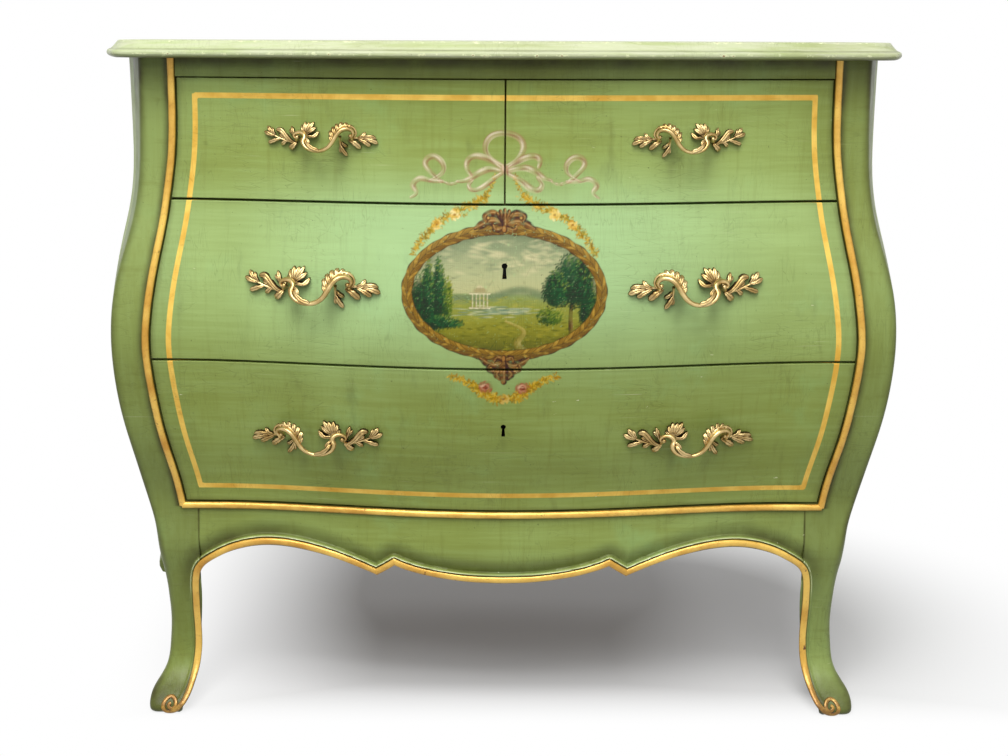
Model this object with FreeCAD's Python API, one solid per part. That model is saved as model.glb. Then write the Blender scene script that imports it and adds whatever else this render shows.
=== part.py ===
"""Bombe chest of drawers: a swelling, bow-fronted case on cabriole legs.

Units are millimetres.  X runs to the right, Y to the back and Z up.  While it
is modelled the back of the case lies in the plane y = 0 and the floor is
z = 0; at the end every piece is moved so that the chest is centred on X and Y.
"""
import math
import os

import FreeCAD
import Part
from FreeCAD import Vector

os.makedirs("parts", exist_ok=True)


# ---------------------------------------------------------------- driving sizes

HEIGHT = 890.0
TOP_THICKNESS = 21.0
BODY_TOP = HEIGHT - TOP_THICKNESS

# Height, then the half width of the case at its front corners.
HALF_WIDTH_KNOTS = [
    (0, 475.5), (12, 476), (24, 474.5), (34, 468), (44, 462.5), (56, 459.5), (72, 458),
    (90, 456.5), (115, 455), (150, 455.5), (195, 456.5), (226, 458.8), (253, 462), (281, 468.5),
    (306, 474), (364, 482.5), (422, 491), (480, 495), (531, 494.5), (581, 489),
    (631, 476.5), (668, 466.5), (706, 460), (781, 455.2), (868, 453.3), (900, 453),
]
# Height, then the half width of the drawer field inside the gilt beads.
FIELD_EDGE_KNOTS = [
    (0, 424), (38, 405), (80, 398), (130, 402.5), (195, 404.5), (250, 412), (281, 419.5),
    (306, 423.3), (349, 429.5), (393, 436.7), (436, 441.9), (480, 445.6), (518, 446.5),
    (556, 443), (593, 437.6), (631, 430.3), (668, 423.2), (706, 417.5), (744, 412.2),
    (781, 409.3), (831, 408.2), (868, 407.6), (900, 407.5),
]
# Height, then the distance from the back plane to the front corners.
CORNER_DEPTH_KNOTS = [
    (0, 491), (10, 493), (20, 484), (34, 464), (52, 448.5), (80, 441.4),
    (130, 444.4), (190, 454.7), (226, 460), (262, 455.3), (285, 453.6), (372, 474.4),
    (440, 488), (510, 496.3), (570, 492.3), (640, 478.1), (700, 465), (760, 459.5),
    (820, 458), (900, 460),
]
# Height, then how far the middle of the front stands proud of its corners.
FRONT_BOW_KNOTS = [
    (0, 24), (190, 28), (285, 32), (372, 36), (450, 39.5), (520, 42), (600, 45), (720, 48.5),
    (900, 50),
]
# Height, then the share of the half width over which the front swells.
BOW_SPREAD_KNOTS = [
    (0, 0.79), (190, 0.79), (285, 0.8), (400, 0.82), (492, 0.85), (600, 0.92), (694, 1.0),
    (780, 1.04), (900, 1.06),
]
# Height, then the outward bow of the sides.
SIDE_BOW_KNOTS = [
    (0, 0), (200, 0), (400, 0), (440, 0), (500, 2), (560, 10), (631, 18), (706, 22),
    (781, 25.5), (868, 28), (900, 28.5),
]
# Height, then the width and depth of a leg.
LEG_SIZE_KNOTS = [
    (0, 47), (10, 49.5), (18, 51.5), (26, 53), (34, 51), (44, 47.2), (66, 46.8), (96, 46),
    (150, 50), (200, 52.8), (240, 58), (300, 58),
]

SIDE_FLARE = 92.0           # how much wider each side is at the back
FOOT_FLARE = 10.0           # and how much more a rear foot kicks out
CORNER_RADIUS = 6.0

FRONT_THICKNESS = 22.0
SIDE_THICKNESS = 18.0
POST_DEPTH = 50.0
REAR_POST_DEPTH = 45.0
REAR_FOOT_DEPTH = 57.0

RAIL_BOTTOM = 846.0         # lower edge of the rail under the top board
UPPER_SEAM = 694.5          # between the small drawers and the middle drawer
LOWER_SEAM = 493.0          # between the middle and the bottom drawer
FIELD_BOTTOM = 287.3        # lower edge of the drawer field
SEAM_GAP = 3.0
EDGE_GAP = 1.4
LEG_TOP = 279.0
LEG_INNER_X = 404.0

BEAD_RADIUS = 4.8
BEAD_LIFT = 0.15            # glue line that keeps a flat-backed bead off the curved front
BOX_HALF_WIDTH = 398.0      # outside of the drawer boxes
BOX_BACK = -40.0            # back of the drawer boxes when shut
BOARD = 12.0                # drawer sides and backs
DRAWER_BOTTOM = 6.0
RAIL_LOW = 11.0             # hidden rail below a seam
RAIL_HIGH = 10.0            # hidden rail above a seam
FLOOR_BOARD = (262.0, 274.0)


# ---------------------------------------------------------------- profile curves

def natural_spline(knots):
    """Return a smooth function through (position, value) knots."""
    xs = [float(k[0]) for k in knots]
    ys = [float(k[1]) for k in knots]
    count = len(xs)
    gaps = [xs[i + 1] - xs[i] for i in range(count - 1)]
    upper = [0.0] * count
    right = [0.0] * count
    for i in range(1, count - 1):
        slope = 6.0 * ((ys[i + 1] - ys[i]) / gaps[i] - (ys[i] - ys[i - 1]) / gaps[i - 1])
        pivot = 2.0 * (gaps[i - 1] + gaps[i]) - gaps[i - 1] * upper[i - 1]
        upper[i] = gaps[i] / pivot
        right[i] = (slope - gaps[i - 1] * right[i - 1]) / pivot
    bend = [0.0] * count
    for i in range(count - 2, 0, -1):
        bend[i] = right[i] - upper[i] * bend[i + 1]

    def value(x):
        i = 0
        while i < count - 2 and x > xs[i + 1]:
            i += 1
        a = (xs[i + 1] - x) / gaps[i]
        b = (x - xs[i]) / gaps[i]
        curve = ((a ** 3 - a) * bend[i] + (b ** 3 - b) * bend[i + 1]) * gaps[i] ** 2 / 6.0
        return a * ys[i] + b * ys[i + 1] + curve

    return value


half_width = natural_spline(HALF_WIDTH_KNOTS)
corner_depth = natural_spline(CORNER_DEPTH_KNOTS)
front_bow = natural_spline(FRONT_BOW_KNOTS)
leg_size = natural_spline(LEG_SIZE_KNOTS)
field_edge = natural_spline(FIELD_EDGE_KNOTS)
bow_spread = natural_spline(BOW_SPREAD_KNOTS)
side_bow = natural_spline(SIDE_BOW_KNOTS)


def smooth_step(t):
    t = min(1.0, max(0.0, t))
    return t * t * (3.0 - 2.0 * t)


def front_y(x, z):
    """Outer surface of the front: a swell in the middle that dies out to the sides."""
    share = min(1.0, abs(x) / (half_width(z) * bow_spread(z)))
    return -(corner_depth(z) + front_bow(z) * (1.0 - share ** 2) ** 2)


def side_flare(z):
    """How much wider the side is at the back than at the front."""
    return SIDE_FLARE + FOOT_FLARE * smooth_step((50.0 - z) / 35.0)


def side_x(y, z):
    """Outer surface of the right-hand side."""
    t = 1.0 + y / corner_depth(z)
    return half_width(z) + side_flare(z) * t + 4.0 * side_bow(z) * t * (1.0 - t)


# ---------------------------------------------------------------- shape helpers

def curve_through(points):
    curve = Part.BSplineCurve()
    curve.interpolate([Vector(*p) for p in points])
    return curve.toShape()


def even_curve(points):
    """Smooth curve whose points lie at even parameters, so sections of a loft match."""
    curve = Part.BSplineCurve()
    curve.interpolate(Points=[Vector(*p) for p in points],
                      Parameters=[float(i) for i in range(len(points))])
    return curve.toShape()


def line(a, b):
    return Part.makeLine(Vector(*a), Vector(*b))


def spread(low, high, count):
    return [low + (high - low) * i / (count - 1.0) for i in range(count)]


def mirrored(shape):
    return shape.mirror(Vector(0, 0, 0), Vector(1, 0, 0))


def box(x0, x1, y0, y1, z0, z1):
    return Part.makeBox(x1 - x0, y1 - y0, z1 - z0, Vector(x0, y0, z0))


def plan_wire(z, front_in, side_in, back_out):
    """Outline of the case at one height, moved inwards by the given amounts."""
    radius = CORNER_RADIUS if front_in <= 0.0 else 2.0
    width = half_width(z)
    x_end = width - radius
    y_end = -corner_depth(z) + radius

    def front(x):
        return (x, front_y(x, z) + front_in, z)

    def side(y):
        return (side_x(y, z) - side_in, y, z)

    front_points = [front(x) for x in spread(-x_end + side_in, x_end - side_in, 17)]
    side_points = [side(y) for y in spread(y_end + front_in, back_out, 9)]
    a = front_points[-1]
    b = side_points[0]
    corner = (width - side_in, -corner_depth(z) + front_in, z)
    arc_points = []
    for t in (0.0, 0.25, 0.5, 0.75, 1.0):
        arc_points.append(tuple((1 - t) ** 2 * a[k] + 2 * t * (1 - t) * corner[k] + t * t * b[k]
                                for k in range(3)))

    def flip(points):
        return [(-p[0], p[1], p[2]) for p in reversed(points)]

    back_right = side_points[-1]
    edges = [
        even_curve(front_points),
        even_curve(arc_points),
        even_curve(side_points),
        line(back_right, (-back_right[0], back_right[1], z)),
        even_curve(flip(side_points)),
        even_curve(flip(arc_points)),
    ]
    return Part.Wire(edges)


LEVELS = [0, 5, 10, 15, 20, 27, 35, 45, 56, 70, 90, 115, 145, 175, 205, 235, 262, 285, 315,
          350, 390, 430, 470, 510, 545, 580, 620, 655, 680, 700, 720, 740, 760, 780, 805, 840]


def case_solid(front_in, side_in, low, high, back_out=0.0):
    """Solid filling the case outline between two heights."""
    levels = [low] + [z for z in LEVELS if low + 2 < z < high - 2] + [high]
    wires = [plan_wire(z, front_in, side_in, back_out) for z in levels]
    return Part.makeLoft(wires, True, False)


def front_prism(edges, y0=-620.0, y1=0.0):
    """Solid seen from the front as the closed outline of the given edges."""
    face = Part.Face(Part.Wire(edges))
    face.translate(Vector(0, y0, 0))
    return face.extrude(Vector(0, y1 - y0, 0))


def side_prism(edges, x0, x1):
    face = Part.Face(Part.Wire(edges))
    face.translate(Vector(x0, 0, 0))
    return face.extrude(Vector(x1 - x0, 0, 0))


def height_curve(function, low, high, count=13, plane="XZ"):
    points = []
    for z in spread(low, high, count):
        points.append((function(z), 0.0, z) if plane == "XZ" else (0.0, function(z), z))
    return curve_through(points)


# These run past the back plane, where every piece is cut off flat.
case = case_solid(0.0, 0.0, 0.0, BODY_TOP, 10.0)
case_inside = case_solid(FRONT_THICKNESS, SIDE_THICKNESS, 150.0, BODY_TOP + 5.0, 10.0)
behind_fronts = case_solid(FRONT_THICKNESS + 1.5, SIDE_THICKNESS + 0.1, 240.0, BODY_TOP)

pieces = {}


# ---------------------------------------------------------------- posts with legs

LEG_JOINT = 230.0           # height where the leg passes into the straight post


def leg_inner(z):
    """Inner edge of a front leg."""
    return LEG_INNER_X if z >= 200.0 else half_width(z) - leg_size(z) + 0.5 * (z / 200.0)


def post_back(z):
    """Rear face of a front post and its leg."""
    return -corner_depth(z) + leg_size(min(z, 240.0)) - 12.0 * smooth_step((z - 200.0) / 70.0)


def leg_section(z):
    """Section of a front leg, narrower behind, and open towards the front surface."""
    front, back = -corner_depth(z), post_back(z)
    inner_slope = 0.29 * (1.0 - smooth_step((z - 170.0) / 50.0))
    outer_slope = -0.2 + 0.45 * smooth_step((z - 150.0) / 78.0)

    def inner(y):
        return (leg_inner(z) + inner_slope * (y - front), y, z)

    def outer(y):
        return (half_width(z) + outer_slope * (y - front) + 1.0, y, z)

    ahead = front - 50.0
    corners = [inner(ahead), outer(ahead), outer(back), inner(back)]
    return Part.Wire([line(corners[i], corners[(i + 1) % 4]) for i in range(4)])


def front_post():
    """Right-hand front post and cabriole leg."""
    levels = [0, 5, 10, 15, 20, 27, 35, 45, 56, 70, 90, 115, 145, 175, 195, 210, LEG_JOINT]
    leg = case.common(Part.makeLoft([leg_section(z) for z in levels], True, False))

    z_step = FIELD_BOTTOM + 0.5
    edges = [
        line((LEG_INNER_X, 0, LEG_JOINT), (LEG_INNER_X, 0, z_step)),
        line((LEG_INNER_X, 0, z_step), (field_edge(z_step), 0, z_step)),
        height_curve(field_edge, z_step, BODY_TOP + 5.0),
        line((field_edge(BODY_TOP + 5.0), 0, BODY_TOP + 5.0), (640, 0, BODY_TOP + 5.0)),
        line((640, 0, BODY_TOP + 5.0), (640, 0, LEG_JOINT)),
        line((640, 0, LEG_JOINT), (LEG_INNER_X, 0, LEG_JOINT)),
    ]
    outline = front_prism(edges)
    edges = [
        height_curve(post_back, LEG_JOINT, BODY_TOP + 5.0, 17, "YZ"),
        line((0, post_back(BODY_TOP + 5.0), BODY_TOP + 5.0), (0, -640, BODY_TOP + 5.0)),
        line((0, -640, BODY_TOP + 5.0), (0, -640, LEG_JOINT)),
        line((0, -640, LEG_JOINT), (0, post_back(LEG_JOINT), LEG_JOINT)),
    ]
    upper = case.common(outline).common(side_prism(edges, 300.0, 700.0))
    return upper.fuse(leg)


def rear_post():
    """Right-hand rear post and leg."""
    def inner(z):
        full = half_width(z) + side_flare(z)
        wide = leg_size(min(z, 240.0)) - 14.0 * smooth_step((z - 200.0) / 70.0)
        return full - wide

    low = [(inner(z), 0.0, z) for z in (0, 5, 10, 20, 30, 40, 55, 75, 100, 130, 165, 200)]
    edges = [
        curve_through(low),
        height_curve(inner, 200.0, BODY_TOP + 5.0, 17),
        line((inner(BODY_TOP + 5.0), 0, BODY_TOP + 5.0), (680, 0, BODY_TOP + 5.0)),
        line((680, 0, BODY_TOP + 5.0), (680, 0, 0)),
        line((680, 0, 0), low[0]),
    ]
    outline = front_prism(edges, -REAR_FOOT_DEPTH - 1.0, 0.0)

    def rear_face(z):
        foot = smooth_step((52.0 - z) / 34.0)
        return -REAR_POST_DEPTH - (REAR_FOOT_DEPTH - REAR_POST_DEPTH) * foot

    low = [(0.0, rear_face(z), z) for z in (0, 6, 12, 18, 26, 34, 42, 52)]
    edges = [
        curve_through(low),
        line(low[-1], (0, -REAR_POST_DEPTH, BODY_TOP + 5.0)),
        line((0, -REAR_POST_DEPTH, BODY_TOP + 5.0), (0, 0, BODY_TOP + 5.0)),
        line((0, 0, BODY_TOP + 5.0), (0, 0, 0)),
        line((0, 0, 0), low[0]),
    ]
    return case.common(outline).common(side_prism(edges, 300.0, 700.0))


post = front_post()
pieces["front_post_right"] = post
pieces["front_post_left"] = mirrored(post)
back_post = rear_post()
pieces["rear_post_right"] = back_post
pieces["rear_post_left"] = mirrored(back_post)


# ---------------------------------------------------------------- side panels

def side_panel():
    """Right-hand side, with a shaped lower edge between the two legs."""
    def panel_front(z):
        return -corner_depth(z) + POST_DEPTH - 12.0

    y_front = panel_front(205.0) + 8.0
    y_back = 8.0 - REAR_POST_DEPTH
    span = y_back - 8.0 - y_front
    shape = [(0.0, 204), (0.08, 222), (0.2, 238), (0.32, 233), (0.42, 221), (0.5, 216),
             (0.58, 221), (0.68, 233), (0.8, 238), (0.92, 222), (1.0, 204)]
    lower = [(0.0, y_front + span * t, float(z)) for t, z in shape]
    lower_end = lower[-1]
    front_line = height_curve(panel_front, 285.0, BODY_TOP, 13, "YZ")
    start = front_line.Vertexes[0].Point
    finish = front_line.Vertexes[-1].Point
    edges = [
        curve_through(lower),
        line(lower_end, (0, y_back, 204)),
        line((0, y_back, 204), (0, y_back, BODY_TOP)),
        line((0, y_back, BODY_TOP), (0, finish.y, finish.z)),
        front_line,
        line((0, start.y, start.z), (0, y_front - 8.0, 285.0)),
        line((0, y_front - 8.0, 285.0), (0, y_front - 8.0, 204.0)),
        line((0, y_front - 8.0, 204.0), lower[0]),
    ]
    wire = Part.Wire(Part.__sortEdges__(edges))
    face = Part.Face(wire)
    face.translate(Vector(300.0, 0, 0))
    slab = face.extrude(Vector(400.0, 0, 0))
    panel = case.common(slab).cut(case_inside)
    return panel.cut(post).cut(back_post)


panel = side_panel()
pieces["side_panel_right"] = panel
pieces["side_panel_left"] = mirrored(panel)


# ---------------------------------------------------------------- case front

def field_edges(low, high, gap):
    """Outline, seen from the front, of a band across the drawer field."""
    def right(z):
        return field_edge(z) - gap

    def left(z):
        return -right(z)

    return [
        line((left(low), 0, low), (right(low), 0, low)),
        height_curve(right, low, high),
        line((right(high), 0, high), (left(high), 0, high)),
        height_curve(left, low, high),
    ]


def shell(outline):
    """The part of the case front inside an outline, one front thickness deep."""
    return case.common(outline).cut(case_inside)


pieces["top_rail"] = shell(front_prism(field_edges(RAIL_BOTTOM, BODY_TOP, 0.0), -620, -380))

# Right half of the shaped lower edge of the apron, from the leg to the middle.
ARCH = [(404, 198.2), (396.4, 205.6), (378.9, 216.7), (360.3, 225.3), (338.5, 231.5),
        (315.6, 234.6), (293.4, 234.5), (271.2, 232.1), (248.9, 227.8), (225.6, 221.7),
        (201.3, 213.2), (181, 204.8), (165.8, 197.8)]
HOOK = [(165.8, 197.8), (160.7, 205), (151.6, 211.3), (143.5, 214.1)]
DIP = [(143.5, 214.1), (130.4, 209.5), (112.2, 203.5), (92.1, 198.6), (64, 194.2),
       (34, 191.4), (0, 190.4), (-34, 191.4), (-64, 194.2), (-92.1, 198.6), (-112.2, 203.5),
       (-130.4, 209.5), (-143.5, 214.1)]
EDGE_DROP = 6.0             # from the centre of the apron's bead to its lower lip


def flip_2d(points):
    return [(-x, z) for x, z in reversed(points)]


def lowered(points, drop):
    return [(x, 0.0, z - drop) for x, z in points]


def apron():
    edges = []
    for points in (ARCH, HOOK, DIP, flip_2d(HOOK), flip_2d(ARCH)):
        edges.append(curve_through(lowered(points, EDGE_DROP)))
    z_leg = ARCH[0][1] - EDGE_DROP
    x_end = LEG_INNER_X + 8.0
    edges += [
        line((-LEG_INNER_X, 0, z_leg), (-x_end, 0, z_leg)),
        line((-x_end, 0, z_leg), (-x_end, 0, FIELD_BOTTOM)),
        line((-x_end, 0, FIELD_BOTTOM), (x_end, 0, FIELD_BOTTOM)),
        line((x_end, 0, FIELD_BOTTOM), (x_end, 0, z_leg)),
        line((x_end, 0, z_leg), (LEG_INNER_X, 0, z_leg)),
    ]
    return shell(front_prism(edges, -620, -380)).cut(post).cut(pieces["front_post_left"])


pieces["front_apron"] = apron()


# ---------------------------------------------------------------- top board

def top_board():
    """Moulded board: rounded lower lip, small step and a cove to the flat top."""
    steps = [(0.0, 7.0), (1.2, 3.0), (3.5, 0.4), (5.5, 0.0), (7.8, 0.6), (9.5, 2.6),
             (10.3, 5.0), (11.2, 6.6), (13.0, 8.6), (15.5, 11.0), (18.0, 13.2), (20.0, 15.0),
             (21.0, 17.0)]
    wires = []
    for rise, inset in steps:
        wires.append(board_wire(BODY_TOP + rise, inset))
    return Part.makeLoft(wires, True, True)


BOARD_FRONT_OVERHANG = 30.0
BOARD_SIDE_OVERHANG = 23.0


def board_wire(z, inset):
    level = BODY_TOP
    width = half_width(level) + BOARD_SIDE_OVERHANG
    depth = corner_depth(level) + BOARD_FRONT_OVERHANG
    radius = 16.0

    def side(y):
        t = 1.0 + y / depth
        return (width + SIDE_FLARE * t + 4.0 * side_bow(level) * t * (1.0 - t) - inset, y, z)

    def front(x):
        share = min(1.0, abs(x) / (width * bow_spread(level)))
        return (x, -(depth + front_bow(level) * (1.0 - share ** 2) ** 2) + inset, z)

    x_end = width - radius - inset
    front_points = [front(x) for x in spread(-x_end, x_end, 17)]
    side_points = [side(y) for y in spread(-depth + radius + inset, -0.4 * inset, 9)]
    a = front_points[-1]
    b = side_points[0]
    corner = (width - inset, -depth + inset, z)
    arc = []
    for t in (0.0, 0.25, 0.5, 0.75, 1.0):
        arc.append(tuple((1 - t) ** 2 * a[k] + 2 * t * (1 - t) * corner[k] + t * t * b[k]
                         for k in range(3)))

    def flip(points):
        return [(-p[0], p[1], p[2]) for p in reversed(points)]

    end = side_points[-1]
    return Part.Wire([even_curve(front_points), even_curve(arc), even_curve(side_points),
                      line(end, (-end[0], end[1], z)), even_curve(flip(side_points)),
                      even_curve(flip(arc))])


pieces["top_board"] = top_board()


# ---------------------------------------------------------------- inside of the case

def inner_rail(low, high, depth):
    """Hidden cross rail between the front posts, just behind the drawer fronts."""
    band = box(-560, 560, -620, -corner_depth(low) + depth, low, high)
    rail = behind_fronts.common(band)
    return rail.cut(post).cut(pieces["front_post_left"])


RAIL_DEPTH = 70.0
rail_levels = {
    "drawer_rail_upper": (UPPER_SEAM - RAIL_LOW, UPPER_SEAM + RAIL_HIGH),
    "drawer_rail_lower": (LOWER_SEAM - RAIL_LOW, LOWER_SEAM + RAIL_HIGH),
}
for rail_name, (rail_low, rail_high) in rail_levels.items():
    pieces[rail_name] = inner_rail(rail_low, rail_high, RAIL_DEPTH)

BACK_THICKNESS = 8.0
BACK_SET_IN = 3.0
back_front_face = -BACK_SET_IN - BACK_THICKNESS


def between_rear_posts(low, high, y0, y1):
    slab = box(-620, 620, y0, y1, low, high)
    return case.common(slab).cut(back_post).cut(pieces["rear_post_left"])


pieces["back_panel"] = between_rear_posts(240.0, BODY_TOP, back_front_face, -BACK_SET_IN)
pieces["rear_top_rail"] = between_rear_posts(BODY_TOP - 40.0, BODY_TOP, -34.0, back_front_face)


def bottom_board():
    slab = box(-620, 620, -620, back_front_face, FLOOR_BOARD[0], FLOOR_BOARD[1])
    board = case_inside.common(slab)
    for name in ("front_post_left", "front_post_right", "rear_post_left", "rear_post_right"):
        board = board.cut(pieces[name])
    return board


pieces["bottom_board"] = bottom_board()

DIVIDER_HALF = 9.0
divider_low = UPPER_SEAM + RAIL_HIGH
divider_front = front_y(0.0, 780.0) + FRONT_THICKNESS + 22.0
pieces["centre_divider"] = box(-DIVIDER_HALF, DIVIDER_HALF, divider_front, back_front_face - 23.0,
                               divider_low, BODY_TOP)

RUNNER_INNER = 366.0
RUNNER_OUTER = 412.0
GUIDE_INNER = BOX_HALF_WIDTH + 1.5


def runners():
    """Bars that carry the drawers, with guides beside them, from rail to back."""
    bars = []
    for rail_low, rail_high in rail_levels.values():
        y_front = -corner_depth(rail_low) + RAIL_DEPTH
        bar = box(RUNNER_INNER, RUNNER_OUTER, y_front, back_front_face, rail_low, rail_high)
        guide = box(GUIDE_INNER, RUNNER_OUTER, y_front, back_front_face, rail_high, rail_high + 22)
        bars.append(bar.fuse(guide))
    floor = FLOOR_BOARD[1]
    y_front = -corner_depth(300.0) + 60.0
    bar = box(RUNNER_INNER, RUNNER_OUTER, y_front, back_front_face, floor, floor + 19.0)
    guide = box(GUIDE_INNER, RUNNER_OUTER, y_front, back_front_face, floor + 19, floor + 41)
    bars.append(bar.fuse(guide))
    return bars


right_bars = runners()
runner_names = ("runners_top", "runners_middle", "runners_bottom")
for runner_name, bar in zip(runner_names, right_bars):
    parts_of_level = [bar, mirrored(bar)]
    if runner_name == "runners_top":
        y_front = -corner_depth(UPPER_SEAM - RAIL_LOW) + RAIL_DEPTH
        parts_of_level.append(box(-30, 30, y_front, back_front_face,
                                  UPPER_SEAM - RAIL_LOW, UPPER_SEAM + RAIL_HIGH))
    pieces[runner_name] = Part.makeCompound(parts_of_level)


# ---------------------------------------------------------------- gilt beads

def on_front(x, z, out=0.0):
    return (x, front_y(x, z) - out, z)


def front_normal(x, z):
    """Unit vector that stands out of the front."""
    step = 0.5
    along_x = (front_y(x + step, z) - front_y(x - step, z)) / (2 * step)
    along_z = (front_y(x, z + step) - front_y(x, z - step)) / (2 * step)
    return Vector(along_x, -1.0, along_z).normalize()


def refined(points, steps):
    """More points along a smooth line, which keep its first and last point."""
    curve = Part.BSplineCurve()
    curve.interpolate([Vector(x, 0, z) for x, z in points])
    count = steps * (len(points) - 1) + 1
    places = [curve.value(u) for u in spread(curve.FirstParameter, curve.LastParameter, count)]
    return [(place.x, place.z) for place in places]


def bead(line_points, radius=BEAD_RADIUS, lift=BEAD_LIFT):
    """Half-round moulding along a line on the front, mitred at its corners."""
    places = [Vector(*on_front(x, z, lift)) for x, z in line_points]
    count = len(places)
    wires = []
    for i in range(count):
        before = (places[i] - places[max(0, i - 1)])
        after = (places[min(count - 1, i + 1)] - places[i])
        before = after if i == 0 else before
        after = before if i == count - 1 else after
        before = Vector(before).normalize()
        after = Vector(after).normalize()
        along = (before + after).normalize()
        stretch = 1.0 / max(0.35, along.dot(after))
        normal = front_normal(*line_points[i])
        across = along.cross(normal).normalize()
        arc_points = []
        for k in range(9):
            angle = math.pi * k / 8.0
            arc_points.append(places[i] + across * (math.cos(angle) * radius * stretch)
                              + normal * (math.sin(angle) * radius))
        wires.append(Part.Wire([even_curve(arc_points),
                                Part.makeLine(arc_points[-1], arc_points[0])]))
    return Part.makeLoft(wires, True, True)


def flip_line(points):
    return [(-x, z) for x, z in points]


def side_bead_x(z):
    return field_edge(z) + BEAD_RADIUS


bead_bottom_z = FIELD_BOTTOM - BEAD_RADIUS - 0.2
side_line = [(-side_bead_x(z), z) for z in spread(BODY_TOP - 0.5, bead_bottom_z, 61)]
pieces["bead_left"] = bead(side_line)
pieces["bead_right"] = mirrored(pieces["bead_left"])
corner_x = side_bead_x(bead_bottom_z) - BEAD_RADIUS - 0.3
pieces["bead_bottom"] = bead([(x, bead_bottom_z) for x in spread(-corner_x, corner_x, 61)])

# The apron's bead and a leg's bead are one line, parted at the joint with the leg.
leg_line = [(404.2, 198), (410.3, 188.6), (414.2, 175.9), (416.5, 159), (417.5, 129.2),
            (417.3, 99.3), (417.7, 74.6), (419, 55.7), (420.6, 41.6), (423, 27.3),
            (427.4, 16.3), (434.2, 9.3)]
VOLUTE = (442.9, 11.3)
VOLUTE_RADIUS = 11.0

leg_bead = bead(refined(flip_line(leg_line), 5), lift=0.4)
volute = Part.makeCylinder(VOLUTE_RADIUS, 16.0, Vector(*on_front(-VOLUTE[0], VOLUTE[1], 5.0)),
                           Vector(0, 1, 0)).cut(pieces["front_post_left"]).cut(leg_bead)
pieces["leg_bead_left"] = Part.makeCompound([leg_bead, volute])
pieces["leg_bead_right"] = mirrored(pieces["leg_bead_left"])

apron_line = []
for part_line in (ARCH, HOOK, DIP, flip_2d(HOOK), flip_2d(ARCH)):
    steps = 1 if part_line in (HOOK, flip_2d(HOOK)) else 3
    apron_line += refined(part_line, steps)[:-1]
apron_line.append(flip_2d(ARCH)[-1])
pieces["apron_bead"] = bead(apron_line, lift=0.35)


# ---------------------------------------------------------------- drawers

PULL_HALF = {"small": 70.0, "large": 84.0}
BOLT_THROW = 8.0
KEYHOLE_DEPTH = 200.0


def keyhole_cutter(z_top, size):
    """Round hole over a tapering slot, right through a drawer front."""
    radius = 0.19 * size
    ring = Part.makeCylinder(radius, KEYHOLE_DEPTH, Vector(0, -640, z_top - radius),
                             Vector(0, 1, 0))
    slot_low = z_top - size
    points = [(-0.5 * radius, z_top - radius), (-0.75 * radius, slot_low),
              (0.75 * radius, slot_low), (0.5 * radius, z_top - radius)]
    corners = [Vector(x, -640, z) for x, z in points]
    slot = Part.Face(Part.makePolygon(corners + [corners[0]])).extrude(
        Vector(0, KEYHOLE_DEPTH, 0))
    return ring.fuse(slot)


def screw_places(centre_x, centre_z, size, side):
    scale = PULL_HALF[size] / 84.0
    return [(centre_x + side * offset * scale, centre_z) for offset in (-35.0, 47.0)]


DRAWERS = {
    "top_left": dict(low=UPPER_SEAM, high=RAIL_BOTTOM, half="left", keyhole=None,
                     pulls=[(-225.4, 771.8, "small", 1)]),
    "top_right": dict(low=UPPER_SEAM, high=RAIL_BOTTOM, half="right", keyhole=None,
                      pulls=[(225.4, 771.8, "small", -1)]),
    "middle": dict(low=LOWER_SEAM, high=UPPER_SEAM, half=None, keyhole=(625.0, 19.0),
                   pulls=[(-236.7, 591.8, "large", 1), (236.7, 591.8, "large", -1)]),
    "bottom": dict(low=FIELD_BOTTOM, high=LOWER_SEAM, half=None, keyhole=(418.0, 17.0),
                   pulls=[(-237.7, 391.3, "large", -1), (237.7, 391.3, "large", 1)]),
}


def drawer_front(spec):
    low = spec["low"] + (SEAM_GAP / 2 if spec["low"] != FIELD_BOTTOM else EDGE_GAP)
    high = spec["high"] - (SEAM_GAP / 2 if spec["high"] != RAIL_BOTTOM else EDGE_GAP)
    block = front_prism(field_edges(low, high, EDGE_GAP), -620, -380)
    if spec["half"] == "left":
        block = block.cut(box(-SEAM_GAP / 2, 620, -640, 0, low - 5, high + 5))
    if spec["half"] == "right":
        block = block.cut(box(-620, SEAM_GAP / 2, -640, 0, low - 5, high + 5))
    if spec["keyhole"]:
        block = block.cut(keyhole_cutter(*spec["keyhole"]))
    for pull in spec["pulls"]:
        for x, z in screw_places(*pull):
            block = block.cut(Part.makeCylinder(2.4, 400, Vector(x, -640, z), Vector(0, 1, 0)))
    return shell(block)


def drawer_box(name, spec):
    """Sides, back and bottom of one drawer, ending against its front."""
    box_low = spec["low"] + (RAIL_HIGH + 0.6 if spec["low"] != FIELD_BOTTOM else 6.4)
    box_high = spec["high"] - (RAIL_LOW + 9.0 if spec["high"] != RAIL_BOTTOM else 12.0)
    x0, x1 = -BOX_HALF_WIDTH, BOX_HALF_WIDTH
    if spec["half"] == "left":
        x1 = -DIVIDER_HALF - 1.5
    if spec["half"] == "right":
        x0 = DIVIDER_HALF + 1.5
    bottom_low = box_low + 5.0
    bottom_high = bottom_low + DRAWER_BOTTOM
    pieces[name + "_side_left"] = case_inside.common(
        box(x0, x0 + BOARD, -600, BOX_BACK, box_low, box_high))
    pieces[name + "_side_right"] = case_inside.common(
        box(x1 - BOARD, x1, -600, BOX_BACK, box_low, box_high))
    pieces[name + "_back"] = box(x0 + BOARD, x1 - BOARD, BOX_BACK - BOARD, BOX_BACK,
                                 bottom_high, box_high - 6.0)
    pieces[name + "_bottom"] = case_inside.common(
        box(x0 + BOARD, x1 - BOARD, -600, BOX_BACK, bottom_low, bottom_high))


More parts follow.
